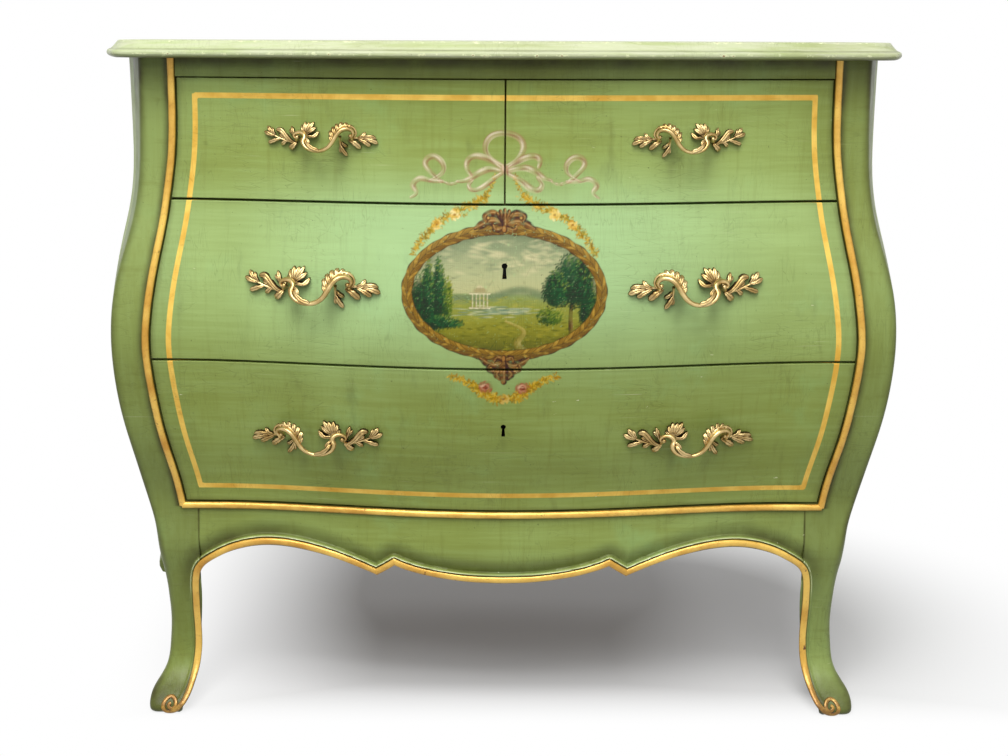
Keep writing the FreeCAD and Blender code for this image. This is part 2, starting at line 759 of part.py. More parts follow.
for drawer_name, drawer_spec in DRAWERS.items():
    pieces[drawer_name + "_front"] = drawer_front(drawer_spec)
    drawer_box(drawer_name, drawer_spec)


# ---------------------------------------------------------------- locks

LOCKS = {"middle": dict(keyhole=625.0, rail=UPPER_SEAM - RAIL_LOW, bolt_y=-478.0),
         "bottom": dict(keyhole=418.0, rail=LOWER_SEAM - RAIL_LOW, bolt_y=-482.0)}
BOLT_HALF_X = 5.0
BOLT_HALF_Y = 2.5

for lock_name, lock in LOCKS.items():
    z_mid = lock["keyhole"] - 9.0
    body = case_inside.common(box(-24, 24, -600, lock["bolt_y"] + 7.0, z_mid - 26, z_mid + 26))
    passage = box(-BOLT_HALF_X - 0.6, BOLT_HALF_X + 0.6, lock["bolt_y"] - BOLT_HALF_Y - 0.6,
                  lock["bolt_y"] + BOLT_HALF_Y + 0.6, z_mid - 14, z_mid + 40)
    pieces["lock_case_" + lock_name] = body.cut(passage)
    pieces["lock_bolt_" + lock_name] = box(
        -BOLT_HALF_X, BOLT_HALF_X, lock["bolt_y"] - BOLT_HALF_Y, lock["bolt_y"] + BOLT_HALF_Y,
        z_mid - 2.0, lock["rail"] - 2.0)
    mortise = box(-BOLT_HALF_X - 1.5, BOLT_HALF_X + 1.5, lock["bolt_y"] - BOLT_HALF_Y - 1.5,
                  lock["bolt_y"] + BOLT_HALF_Y + 1.5, lock["rail"] - 1, lock["rail"] + 9.0)
    rail_key = "drawer_rail_upper" if lock_name == "middle" else "drawer_rail_lower"
    pieces[rail_key] = pieces[rail_key].cut(mortise)


# ---------------------------------------------------------------- pulls

# Outlines and paths of the large pull, from its centre; a small one is scaled.
LEFT_LEAF = [(-29, 5), (-26, 19), (-33, 25), (-40, 17), (-52, 20), (-66, 17), (-80, 19),
             (-78, 10), (-84, 0), (-70, -4), (-60, -9), (-47, -12), (-36, -7)]
RIGHT_LEAF = [(40, 6), (50, 12), (60, 7), (72, 5), (84, 0), (82, -8), (72, -12), (58, -13),
              (46, -6)]
SPRIG = [(44, 6), (36, -1), (30, -12), (33, -24), (39, -22), (42, -10), (52, -3)]
HANDLE = [(-33, 1, 14), (-31.5, -4, 22), (-25, -14, 27), (-14, -21, 29), (0, -22.5, 29.5),
          (11, -16, 29), (19, -5, 28), (26, 8, 27), (35, 16, 26), (44, 12, 23), (47, 3, 14)]
LEAF_THICKNESS = 3.0
PULL_GAP = 0.06             # left under a pull where it lies on the painted front
BOSS_RADIUS = 6.0
SCREW_RADIUS = 2.0
HEAD_RADIUS = 4.6


def rod(points, radius):
    """Round rod along a smooth curve, with flat ends."""
    path = Part.Wire([curve_through(points)])
    start = Vector(*points[0])
    ahead = Vector(*points[1]) - start
    ring = Part.Wire([Part.makeCircle(radius, start, ahead)])
    return path.makePipeShell([ring], True, False)


def front_patch(centre_x, centre_z, offset):
    """Block behind the drawer fronts round one pull, its face moved inwards by an offset."""
    rows = []
    for z in spread(centre_z - 45.0, centre_z + 45.0, 9):
        rows.append([Vector(x, front_y(x, z) + offset, z)
                     for x in spread(centre_x - 110.0, centre_x + 110.0, 9)])
    surface = Part.BSplineSurface()
    surface.interpolate(rows)
    return surface.toShape().extrude(Vector(0, 60.0, 0))


def leaf_plate(outline, place, behind):
    """Flat plate of a leaf's outline, laid on the drawer front."""
    corners = [place(u, v) for u, v in outline]
    x0 = sum(x for x, z in corners) / len(corners)
    z0 = sum(z for x, z in corners) / len(corners)
    y0 = front_y(x0, z0)
    slope_x = (front_y(x0 + 5, z0) - front_y(x0 - 5, z0)) / 10.0
    slope_z = (front_y(x0, z0 + 5) - front_y(x0, z0 - 5)) / 10.0
    points = []
    for x, z in corners:
        y = y0 + slope_x * (x - x0) + slope_z * (z - z0) - LEAF_THICKNESS
        points.append(Vector(x, y, z))
    curve = Part.BSplineCurve()
    curve.interpolate(points, True)
    prism = Part.Face(Part.Wire([curve.toShape()])).extrude(Vector(0, 24.0, 0))
    return prism.cut(behind)


def pull(centre_x, centre_z, size, side):
    """Cast pull: leaf plates, two bosses and an S-shaped handle."""
    scale = PULL_HALF[size] / 84.0

    def place(u, v):
        return (centre_x + side * u * scale, centre_z + v * scale)

    path = []
    for u, v, out in HANDLE:
        x, z = place(u, v)
        path.append((x, front_y(x, centre_z) - out * (0.35 + 0.65 * scale), z))
    body = rod(path, 4.4 * scale)
    behind = front_patch(centre_x, centre_z, -PULL_GAP)
    for x, z in screw_places(centre_x, centre_z, size, side):
        near_start = abs(x - path[0][0]) < abs(x - path[-1][0])
        tip = path[0][1] if near_start else path[-1][1]
        boss = Part.makeCylinder(BOSS_RADIUS * scale, front_y(x, z) + 15.0 - tip + 3.0,
                                 Vector(x, tip - 3.0, z), Vector(0, 1, 0))
        body = body.fuse(boss.cut(behind))
    for outline in (LEFT_LEAF, RIGHT_LEAF, SPRIG):
        body = body.fuse(leaf_plate(outline, place, behind))
    for x, z in screw_places(centre_x, centre_z, size, side):
        depth = front_y(x, z) - 9.0
        body = body.cut(Part.makeCylinder(SCREW_RADIUS + 0.1, 40, Vector(x, depth, z),
                                          Vector(0, 1, 0)))
    return body


def screws(pull_list):
    """Flat-head screws from inside the drawer into the bosses of its pulls."""
    bodies = []
    for spec in pull_list:
        for x, z in screw_places(*spec):
            rim = [(x + HEAD_RADIUS * math.cos(math.pi * k / 4),
                    z + HEAD_RADIUS * math.sin(math.pi * k / 4)) for k in range(8)]
            seat = max(front_y(*point) for point in rim) + FRONT_THICKNESS + 0.3
            shank_start = front_y(x, z) - 7.0
            shank = Part.makeCylinder(SCREW_RADIUS, seat + 1.0 - shank_start,
                                      Vector(x, shank_start, z), Vector(0, 1, 0))
            head = Part.makeCylinder(HEAD_RADIUS, 2.6, Vector(x, seat, z), Vector(0, 1, 0))
            bodies.append(shank.fuse(head))
    return bodies


for drawer_name, level in (("top_left", "top"), ("middle", "middle"), ("bottom", "bottom")):
    left_pull = pull(*DRAWERS[drawer_name]["pulls"][0])
    pieces["pull_" + level + "_left"] = left_pull
    pieces["pull_" + level + "_right"] = mirrored(left_pull)
for drawer_name, drawer_spec in DRAWERS.items():
    pieces["pull_screws_" + drawer_name] = Part.makeCompound(screws(drawer_spec["pulls"]))


# ---------------------------------------------------------------- placing and saving

whole = Part.makeCompound(list(pieces.values())).optimalBoundingBox()
shift = Vector(-(whole.XMin + whole.XMax) / 2, -(whole.YMin + whole.YMax) / 2, -whole.ZMin)
print("case moved by", round(shift.x, 4), round(shift.y, 4), round(shift.z, 4))
print("size", round(whole.XLength, 2), round(whole.YLength, 2), round(whole.ZLength, 2))
for piece_name, shape in pieces.items():
    shape.translate(shift)
    solids = len(shape.Solids)
    print(piece_name, "solids", solids, "valid", shape.isValid(),
          "volume", round(shape.Volume / 1000.0, 1))
    shape.exportStep("parts/" + piece_name + ".step")
print("pieces", len(pieces))
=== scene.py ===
"""Bombe chest: materials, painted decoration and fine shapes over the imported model.

Shapes are in case millimetres: x from the middle to the right, y from the back plane and
negative towards the front, z up from the floor.
"""
import math
import random

import bmesh
import bpy
import numpy as np
from mathutils import Matrix, Vector


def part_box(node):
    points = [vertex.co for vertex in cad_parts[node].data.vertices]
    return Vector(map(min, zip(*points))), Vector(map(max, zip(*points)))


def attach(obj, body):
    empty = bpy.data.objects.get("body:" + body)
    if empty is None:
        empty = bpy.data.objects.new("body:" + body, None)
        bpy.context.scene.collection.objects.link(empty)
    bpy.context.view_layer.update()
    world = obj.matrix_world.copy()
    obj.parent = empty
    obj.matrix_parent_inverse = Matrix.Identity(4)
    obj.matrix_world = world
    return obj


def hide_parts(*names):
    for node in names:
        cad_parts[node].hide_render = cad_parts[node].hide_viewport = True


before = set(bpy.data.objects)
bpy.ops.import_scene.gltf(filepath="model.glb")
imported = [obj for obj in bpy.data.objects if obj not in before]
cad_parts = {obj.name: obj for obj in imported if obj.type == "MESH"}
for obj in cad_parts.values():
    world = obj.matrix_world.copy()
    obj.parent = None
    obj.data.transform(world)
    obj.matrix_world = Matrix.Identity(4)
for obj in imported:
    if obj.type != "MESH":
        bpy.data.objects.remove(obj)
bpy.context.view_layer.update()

MM = 1000.0
BACK_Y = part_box("top_board")[1].y * MM
random.seed(7)
rng = np.random.default_rng(7)


# ---------------------------------------------------------------- form of the case

def natural_spline(knots):
    """Smooth function through (position, value) knots, for arrays."""
    xs, ys = np.array(knots, float).T
    n = len(xs)
    gap = np.diff(xs)
    a = np.eye(n)
    b = np.zeros(n)
    for i in range(1, n - 1):
        a[i, i - 1], a[i, i], a[i, i + 1] = gap[i - 1], 2 * (gap[i - 1] + gap[i]), gap[i]
        b[i] = 6 * ((ys[i + 1] - ys[i]) / gap[i] - (ys[i] - ys[i - 1]) / gap[i - 1])
    bend = np.linalg.solve(a, b)

    def value(x):
        x = np.asarray(x, float)
        i = np.clip(np.searchsorted(xs, x) - 1, 0, n - 2)
        p = (xs[i + 1] - x) / gap[i]
        q = (x - xs[i]) / gap[i]
        curve = ((p ** 3 - p) * bend[i] + (q ** 3 - q) * bend[i + 1]) * gap[i] ** 2 / 6
        return p * ys[i] + q * ys[i + 1] + curve

    return value


def curve_points(points, count):
    """Points along a smooth curve through the given ones."""
    pts = np.array(points, float)
    t = np.linspace(0, len(pts) - 1, count)
    cols = [natural_spline(list(zip(range(len(pts)), column)))(t) for column in pts.T]
    return np.stack(cols, -1)


# heights of the case, then its outline by height: (height, measure)
BODY_TOP, RAIL_BOTTOM, UPPER_SEAM, LOWER_SEAM, FIELD_BOTTOM = 869.0, 846.0, 694.5, 493.0, 287.3
half_width = natural_spline([
    (0, 475.5), (12, 476), (24, 474.5), (34, 468), (44, 462.5), (56, 459.5), (72, 458),
    (90, 456.5), (115, 455), (150, 455.5), (195, 456.5), (226, 458.8), (253, 462), (281, 468.5),
    (306, 474), (364, 482.5), (422, 491), (480, 495), (531, 494.5), (581, 489),
    (631, 476.5), (668, 466.5), (706, 460), (781, 455.2), (868, 453.3), (900, 453)])
field_edge = natural_spline([
    (0, 424), (38, 405), (80, 398), (130, 402.5), (195, 404.5), (250, 412), (281, 419.5),
    (306, 423.3), (349, 429.5), (393, 436.7), (436, 441.9), (480, 445.6), (518, 446.5),
    (556, 443), (593, 437.6), (631, 430.3), (668, 423.2), (706, 417.5), (744, 412.2),
    (781, 409.3), (831, 408.2), (868, 407.6), (900, 407.5)])
corner_depth = natural_spline([
    (0, 491), (10, 493), (20, 484), (34, 464), (52, 448.5), (80, 441.4),
    (130, 444.4), (190, 454.7), (226, 460), (262, 455.3), (285, 453.6), (372, 474.4),
    (440, 488), (510, 496.3), (570, 492.3), (640, 478.1), (700, 465), (760, 459.5),
    (820, 458), (900, 460)])
front_bow = natural_spline([
    (0, 24), (190, 28), (285, 32), (372, 36), (450, 39.5), (520, 42), (600, 45),
    (720, 48.5), (900, 50)])
bow_spread = natural_spline([
    (0, 0.79), (190, 0.79), (285, 0.8), (400, 0.82), (492, 0.85), (600, 0.92),
    (694, 1.0), (780, 1.04), (900, 1.06)])
side_bow = natural_spline([
    (0, 0), (200, 0), (400, 0), (440, 0), (500, 2), (560, 10), (631, 18), (706, 22),
    (781, 25.5), (868, 28), (900, 28.5)])
leg_size = natural_spline([
    (0, 47), (10, 49.5), (18, 51.5), (26, 53), (34, 51), (44, 47.2), (66, 46.8), (96, 46),
    (150, 50), (200, 52.8), (240, 58), (300, 58)])
SIDE_FLARE = 92.0
FRONT_THICK = 22.0
SEAM_GAP, EDGE_GAP, CENTRE_GAP = 3.0, 1.4, 1.8
BEAD_R = 4.8
DENT = 0.12                     # depth of the small dents in beads and top board
LEG_INNER_X = 404.0
LEG_TOP = 281.0


def smooth_step(t):
    t = np.clip(t, 0.0, 1.0)
    return t * t * (3.0 - 2.0 * t)


def fade(distance, reach):
    """1 at no distance, falling smoothly to 0 at a reach."""
    return smooth_step(1.0 - distance / reach)


def line_at(distance, centre, width):
    """Soft line, 1 at its centre."""
    return np.exp(-((distance - centre) / width) ** 2)


def unit(v):
    return v / np.maximum(np.linalg.norm(v, axis=-1, keepdims=True), 1e-6)


def front_y(x, z):
    share = np.minimum(1.0, np.abs(x) / (half_width(z) * bow_spread(z)))
    return -(corner_depth(z) + front_bow(z) * (1.0 - share ** 2) ** 2)


def side_flare(z):
    return SIDE_FLARE + 10.0 * smooth_step((50.0 - z) / 35.0)


def side_x(y, z):
    t = 1.0 + y / corner_depth(z)
    return half_width(z) + side_flare(z) * t + 4.0 * side_bow(z) * t * (1.0 - t)


def front_normal(x, z):
    step = 0.5
    fx = (front_y(x + step, z) - front_y(x - step, z)) / (2 * step)
    fz = (front_y(x, z + step) - front_y(x, z - step)) / (2 * step)
    return unit(np.stack([fx, -np.ones_like(fx), fz], -1))


# ---------------------------------------------------------------- mesh helpers

def grid_faces(rows, cols, wrap_cols=False, start=0, flip=False):
    """Quads over a rows x cols grid of points."""
    r, c = np.arange(rows - 1), np.arange(cols if wrap_cols else cols - 1)
    rr, cc = np.meshgrid(r, c, indexing="ij")
    c2 = (cc + 1) % cols
    corners = [rr * cols + cc, rr * cols + c2, (rr + 1) * cols + c2, (rr + 1) * cols + cc]
    quads = np.stack(corners, -1).reshape(-1, 4) + start
    return quads[:, ::-1] if flip else quads


def strip(first, second):
    """Quads between two runs of point numbers."""
    return np.stack([first[1:], first[:-1], second[:-1], second[1:]], -1)


def ring_parts(rings):
    """Points and faces of a closed body from a stack of rings, both ends capped."""
    rings = np.asarray(rings, float)
    n, m = rings.shape[:2]
    faces = grid_faces(n, m, wrap_cols=True).tolist()
    return rings.reshape(-1, 3), faces + [list(range(m)), list(range((n - 1) * m, n * m))]


def border(grid):
    """The values round the edge of a grid, from its first one back to it."""
    return np.concatenate([grid[0], grid[1:, -1], grid[-1, -2::-1], grid[-2::-1, 0]])


def behind_front(x, z, depth):
    """Points at a depth behind the surface of the front, in one list."""
    return np.stack([x, front_y(x, z) + depth, z], -1).reshape(-1, 3)


def make_object(name, points, faces, material):
    """Smooth object from points in case millimetres; faces are a list or an array of quads."""
    pts = np.asarray(points, float).reshape(-1, 3) / MM + np.array([0.0, BACK_Y / MM, 0.0])
    mesh = bpy.data.meshes.new(name)
    mesh.from_pydata(pts.tolist(), [], faces if isinstance(faces, list) else faces.tolist())
    mesh.validate()
    mesh.polygons.foreach_set("use_smooth", np.ones(len(mesh.polygons), bool))
    mesh.materials.append(material)
    obj = bpy.data.objects.new(name, mesh)
    bpy.context.scene.collection.objects.link(obj)
    return obj


def finish_mesh(obj, angle, closed=True):
    """Turns a closed body's faces outwards, and shades hard across edges over an angle."""
    bm = bmesh.new()
    bm.from_mesh(obj.data)
    if closed:
        bmesh.ops.recalc_face_normals(bm, faces=list(bm.faces))
        bm.normal_update()
    for edge in bm.edges:
        if len(edge.link_faces) == 2 and edge.calc_face_angle(0.0) > math.radians(angle):
            edge.smooth = False
    bm.to_mesh(obj.data)
    bm.free()


def case_points(obj):
    """Vertex places of an object in case millimetres: x, y and z."""
    co = np.zeros(len(obj.data.vertices) * 3, np.float32)
    obj.data.vertices.foreach_get("co", co)
    x, y, z = co.reshape(-1, 3).astype(float).T * MM
    return x, y - BACK_Y, z


def put_number(obj, name, values):
    attribute = obj.data.attributes.new(name, "FLOAT", "POINT")
    attribute.data.foreach_set("value", np.asarray(values, np.float32).ravel())


def place(obj, body, node):
    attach(obj, body)
    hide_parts(node)


# pieces are drawn for the right-hand side; the left one is turned over
SIDES = (("right", np.array([1.0, 1.0, 1.0])), ("left", np.array([-1.0, 1.0, 1.0])))


# ---------------------------------------------------------------- materials

def linear(rgb):
    """Linear colour from 0-255 display values."""
    v = np.asarray(rgb, float) / 255.0
    out = np.where(v <= 0.04045, v / 12.92, ((v + 0.055) / 1.055) ** 2.4)
    return tuple(float(c) for c in out) + (1.0,)


class Nodes:
    """Writes the node tree of a material or a world in a line or two."""

    def __init__(self, owner):
        owner.use_nodes = True
        self.tree = owner.node_tree
        self.tree.nodes.clear()

    def link(self, value, socket):
        if isinstance(value, bpy.types.NodeSocket):
            self.tree.links.new(value, socket)
        else:
            socket.default_value = value

    def node(self, kind, **settings):
        node = self.tree.nodes.new(kind)
        for key, value in settings.items():
            setattr(node, key, value)
        return node

    def math(self, operation, a, b=0.0, clamp=False):
        node = self.node("ShaderNodeMath", operation=operation, use_clamp=clamp)
        self.link(a, node.inputs[0])
        self.link(b, node.inputs[1])
        return node.outputs[0]

    def times(self, a, b):
        return self.math("MULTIPLY", a, b)

    def most(self, *values):
        """The largest of some values."""
        out = values[0]
        for value in values[1:]:
            out = self.math("MAXIMUM", out, value)
        return out

    def seen(self):
        """1 for rays that look at this from the camera, a reflection or a clear body."""
        path = self.node("ShaderNodeLightPath").outputs
        return self.most(path["Is Camera Ray"], path["Is Glossy Ray"],
                         path["Is Transmission Ray"])

    def glow(self, kind, strength):
        """White light from a surface or from all round."""
        node = self.node(kind)
        node.inputs["Color"].default_value = (1.0, 1.0, 1.0, 1.0)
        node.inputs["Strength"].default_value = strength
        return node.outputs[0]

    def blend(self, factor, first, second):
        """Mix of two surfaces or lights."""
        node = self.node("ShaderNodeMixShader")
        for value, socket in zip((factor, first, second), node.inputs):
            self.link(value, socket)
        return node.outputs[0]


class Shader(Nodes):
    """A material with one main surface."""

    def __init__(self, name):
        self.material = bpy.data.materials.new(name)
        super().__init__(self.material)
        self.output = self.node("ShaderNodeOutputMaterial")
        self.bsdf = self.node("ShaderNodeBsdfPrincipled")
        self.link(self.bsdf.outputs[0], self.output.inputs[0])
        self.coords = self.node("ShaderNodeTexCoord").outputs["Object"]

    def scaled(self, scale):
        node = self.node("ShaderNodeMapping")
        self.link(self.coords, node.inputs[0])
        node.inputs["Scale"].default_value = scale
        return node.outputs[0]

    def texture(self, node, scale):
        """Lays a texture at a scale per metre, one number or one per axis."""
        whole = not isinstance(scale, tuple)
        self.link(self.coords if whole else self.scaled(scale), node.inputs["Vector"])
        node.inputs["Scale"].default_value = scale if whole else 1.0
        return node

    def noise(self, scale, detail, rough=0.55, distort=0.0):
        node = self.texture(self.node("ShaderNodeTexNoise"), scale)
        for key, value in (("Detail", detail), ("Roughness", rough), ("Distortion", distort)):
            node.inputs[key].default_value = value
        return node.outputs["Fac"]

    def cells(self, scale):
        """Distance to the edges of random cells."""
        node = self.node("ShaderNodeTexVoronoi", feature="DISTANCE_TO_EDGE")
        return self.texture(node, scale).outputs["Distance"]

    def ramp(self, value, low, high, out_low=0.0, out_high=1.0):
        node = self.node("ShaderNodeMapRange", interpolation_type="SMOOTHSTEP")
        for key, v in (("Value", value), ("From Min", low), ("From Max", high),
                       ("To Min", out_low), ("To Max", out_high)):
            self.link(v, node.inputs[key])
        return node.outputs["Result"]

    def mix(self, factor, a, b):
        node = self.node("ShaderNodeMix", data_type="RGBA")
        for value, key in ((factor, "Factor"), (a, 6), (b, 7)):
            self.link(value, node.inputs[key])
        return node.outputs[2]

    def part(self, axis):
        """One of the three object coordinates, metres."""
        node = self.node("ShaderNodeSeparateXYZ")
        self.link(self.coords, node.inputs[0])
        return node.outputs[axis]

    def stored(self, name):
        """Outputs of a node that reads a value kept on the mesh."""
        return self.node("ShaderNodeAttribute", attribute_name=name).outputs

    def bump(self, height, strength, distance):
        node = self.node("ShaderNodeBump")
        node.inputs["Strength"].default_value = strength
        node.inputs["Distance"].default_value = distance
        self.link(height, node.inputs["Height"])
        return node.outputs[0]

    def finish(self, colour, rough, metallic, normal, specular):
        self.link(colour, self.bsdf.inputs["Base Color"])
        self.link(rough, self.bsdf.inputs["Roughness"])
        self.link(metallic, self.bsdf.inputs["Metallic"])
        self.bsdf.inputs["Specular IOR Level"].default_value = specular
        if normal is not None:
            self.link(normal, self.bsdf.inputs["Normal"])
        return self.material


GREEN_LIGHT = linear((170, 194, 120))
GREEN = linear((149, 168, 86))
GREEN_OLIVE = linear((124, 132, 54))
GREEN_DARK = linear((60, 58, 16))
MINT = linear((158, 206, 138))
MINT_HIGHLIGHT = linear((178, 222, 172))
CREAM = linear((216, 222, 178))
CREAM_TOP = linear((196, 198, 172))
RAW_BROWN = linear((120, 74, 42))
DIRT = linear((58, 54, 26))
# scale of the brush streaks and of the marks across them, per metre
GRAINS = {"front": ((7.0, 40.0, 150.0), (130.0, 40.0, 9.0)),
          "side": ((40.0, 7.0, 150.0), (40.0, 130.0, 9.0)),
          "upright": ((150.0, 150.0, 7.0), (20.0, 20.0, 120.0)),
          "flat": ((7.0, 150.0, 60.0), (110.0, 12.0, 60.0))}


def painted_wood(name, grain, decorated=False, darkening=0.0, wear=0.0, pale=0.0):
    """Olive green paint: brushed, crazed, scratched and rubbed at its edges.

    The attribute edge is the distance to the nearest edge in millimetres. The attribute of
    glaze and shade is 0..1 for dark glaze and painted shade in recesses, under overhangs and
    beside mouldings, and below 0 for pale lines of rubbed paint and painted highlight on the
    lips. The darkening setting mixes all of the paint towards dark olive, wear widens the
    rubbing and pale scumbles it with cream, which on the top board is also a painted
    reflection of the light. decorated adds the picture, the gold frame line, a painted
    highlight over the belly and painted shade low down and under the top.
    """
    s = Shader(name)
    streaks, cross = s.noise(GRAINS[grain][0], 5.0, 0.65), s.noise(GRAINS[grain][1], 4.0, 0.6)
    base = s.mix(s.ramp(s.noise(3.2, 3.0), 0.36, 0.66), GREEN_OLIVE, GREEN_LIGHT)
    base = s.mix(0.60, base, GREEN)
    for value, low, high, amount, colour in (
            (streaks, 0.42, 0.75, 0.26, GREEN_LIGHT),
            (streaks, 0.55, 0.22, 0.24, GREEN_OLIVE),
            (cross, 0.5, 0.26, 0.30, GREEN_OLIVE),
            (s.noise(9.0, 5.0, 0.62), 0.54, 0.78, 0.30, MINT),
            (s.noise((34.0, 20.0, 12.0), 4.0, 0.6), 0.58, 0.80, 0.26, GREEN_DARK)):
        base = s.mix(s.ramp(value, low, high, 0.0, amount), base, colour)
    base = s.mix(darkening, base, GREEN_DARK)
    if pale:
        # cream scumble: dry-brushed paint, and on the top board also a painted reflection of the
        # light
        scumble_and_reflection = s.noise((4.0, 60.0, 90.0), 6.0, 0.7)
        base = s.mix(s.ramp(scumble_and_reflection, 0.3, 0.7, 0.35 * pale, pale), base, CREAM_TOP)

    if decorated:
        # painted highlight: paler and cooler over the belly; painted shade: darker low down and
        # under the top
        height = s.part(2)
        belly_highlight = s.times(s.ramp(height, 0.43, 0.60), s.ramp(height, 0.76, 0.67))
        middle = s.ramp(s.math("ABSOLUTE", s.part(0)), 0.38, 0.10, 0.35)
        base = s.mix(s.times(belly_highlight, s.times(middle, 0.44)), base, MINT_HIGHLIGHT)
        base = s.mix(s.ramp(height, 0.44, 0.30, 0.0, 0.16), base, GREEN_OLIVE)
        base = s.mix(s.ramp(height, 0.69, 0.76, 0.0, 0.07), base, GREEN_DARK)
    # glaze and painted shade darken the paint; below 0 the value lays rubbed paint and painted
    # highlight in pale cream
    glaze_and_shade = s.stored("glaze_and_shade")["Fac"]
    base = s.mix(s.ramp(glaze_and_shade, 0.0, -1.0), base, CREAM)
    cloud = s.ramp(s.noise(26.0, 4.0), 0.2, 0.7, 0.6, 1.0)
    base = s.mix(s.times(glaze_and_shade, cloud), base, GREEN_DARK)

    if decorated:
        picture = s.stored("picture")
        base = s.mix(picture["Alpha"], base, picture["Color"])
        gold = s.mix(s.ramp(s.noise(30.0, 3.0), 0.3, 0.7), linear((222, 172, 66)),
                     linear((248, 208, 100)))
        whole = s.ramp(s.noise(170.0, 4.0, 0.7), 0.66, 0.76, 1.0, 0.0)
        line = s.ramp(s.math("ABSOLUTE", s.stored("frame_line")["Fac"]), 3.6, 3.2)
        base = s.mix(s.times(line, whole), base, gold)

    # fine crazing: short dark lines along and across the boards
    patches = s.ramp(s.noise(11.0, 3.0), 0.44, 0.66)
    patches2 = s.ramp(s.noise(14.0, 3.0, 0.5, 0.4), 0.44, 0.64)
    along = s.ramp(s.cells((26.0, 60.0, 210.0)), 0.045, 0.0)
    across = s.ramp(s.cells((210.0, 60.0, 22.0)), 0.045, 0.0)
    craze = s.math("ADD", s.times(along, patches), s.times(across, patches2), clamp=True)
    base = s.mix(s.times(craze, 0.17), base, GREEN_DARK)
    pale_lines = s.ramp(s.noise((5.0, 60.0, 420.0), 2.0, 0.5), 0.70, 0.76, 0.0, 0.35)
    base = s.mix(s.times(pale_lines, patches), base, CREAM)
    specks = s.ramp(s.noise(240.0, 3.0, 0.6), 0.70, 0.76)
    base = s.mix(s.times(specks, 0.6), base, DIRT)
    nicks = s.times(s.ramp(s.noise((60.0, 90.0, 170.0), 3.0), 0.74, 0.77),
                    s.ramp(s.noise(9.0, 2.0), 0.5, 0.6))
    base = s.mix(nicks, base, CREAM)

    # rubbed edges, to a pale undercoat and then to the wood
    rub = s.math("ADD", s.stored("edge")["Fac"],
                 s.ramp(s.noise(90.0, 5.0, 0.7), 0.25, 0.8, -0.7 - wear, 3.6))
    where = s.ramp(s.noise(13.0, 3.0), 0.58 - 0.2 * wear, 0.70 - 0.2 * wear)
    base = s.mix(s.times(s.ramp(rub, 0.8, 0.0, 0.0, 0.75), where), base, CREAM)
    base = s.mix(s.times(s.ramp(rub, -0.35, -0.8, 0.0, 0.85), where), base, RAW_BROWN)

    height = s.math("ADD", s.times(streaks, 0.4), s.times(craze, -0.6))
    height = s.math("ADD", height, s.times(s.math("ADD", specks, nicks), -0.5))
    rough = s.ramp(s.noise(40.0, 4.0), 0.2, 0.8, 0.34, 0.50)
    return s.finish(base, rough, 0.0, s.bump(height, 0.35, 0.0006), 0.28)


def gilding():
    s = Shader("gilding")
    base = s.mix(s.ramp(s.noise(18.0, 4.0), 0.3, 0.7), linear((206, 150, 52)),
                 linear((246, 204, 98)))
    base = s.mix(s.ramp(s.noise(220.0, 4.0, 0.7), 0.52, 0.72, 0.0, 0.35), base,
                 linear((150, 98, 36)))
    worn = s.ramp(s.noise((46.0, 46.0, 46.0), 5.0, 0.75), 0.64, 0.69)
    base = s.mix(worn, base, linear((92, 52, 28)))
    low = s.times(s.stored("glaze_and_shade")["Fac"], s.ramp(s.noise(120.0, 4.0, 0.7), 0.3, 0.6, 0.5, 1.0))
    base = s.mix(low, base, linear((112, 74, 36)))
    # painted shade along the foot of each bead, where it meets the paint
    rim = s.ramp(s.stored("edge")["Fac"], 2.7, 0.5, 0.0, 0.95)
    base = s.mix(rim, base, linear((60, 38, 10)))
    height = s.math("ADD", s.noise(240.0, 4.0, 0.6), s.times(worn, -0.8))
    return s.finish(base, s.ramp(worn, 0.0, 1.0, 0.30, 0.6), s.ramp(worn, 0.0, 1.0, 0.35, 0.0),
                    s.bump(height, 0.3, 0.0004), 0.5)


def cast_brass():
    s = Shader("cast_brass")
    base = s.mix(s.ramp(s.noise(60.0, 4.0), 0.3, 0.7), linear((170, 140, 84)),
                 linear((220, 194, 138)))
    low = s.stored("glaze_and_shade")["Fac"]
    base = s.mix(s.times(low, 0.95), base, linear((50, 34, 14)))
    return s.finish(base, s.ramp(low, 0.0, 1.0, 0.28, 0.55), 0.88,
                    s.bump(s.noise(420.0, 3.0), 0.25, 0.0003), 0.4)


def bare_wood(name, light, dark, grain, rough=0.6):
    s = Shader(name)
    rings = s.noise(grain, 6.0, 0.6, 0.6)
    fine = s.noise(tuple(6.0 * g for g in grain), 3.0)
    base = s.mix(s.ramp(rings, 0.35, 0.68), linear(dark), linear(light))
    base = s.mix(s.ramp(fine, 0.55, 0.75, 0.0, 0.35), base, linear(dark))
    stain = s.ramp(s.noise(5.0, 3.0), 0.5, 0.75, 0.0, 0.3)
    base = s.mix(stain, base, linear([0.6 * v for v in dark]))
    return s.finish(base, rough, 0.0, s.bump(rings, 0.25, 0.0006), 0.35)


def plain_metal(name, rgb, rough):
    s = Shader(name)
    tone = s.noise(70.0, 4.0)
    base = s.mix(s.ramp(tone, 0.3, 0.75), linear([0.6 * v for v in rgb]), linear(rgb))
    return s.finish(base, rough, 0.9, s.bump(tone, 0.2, 0.0004), 0.5)


PAINT_FRONT = painted_wood("paint_front", "front", decorated=True)
PAINT_RAIL = painted_wood("paint_rail", "front", darkening=0.08)
PAINT_UPRIGHT = painted_wood("paint_upright", "upright", darkening=0.28)
PAINT_SIDE = painted_wood("paint_side", "side")
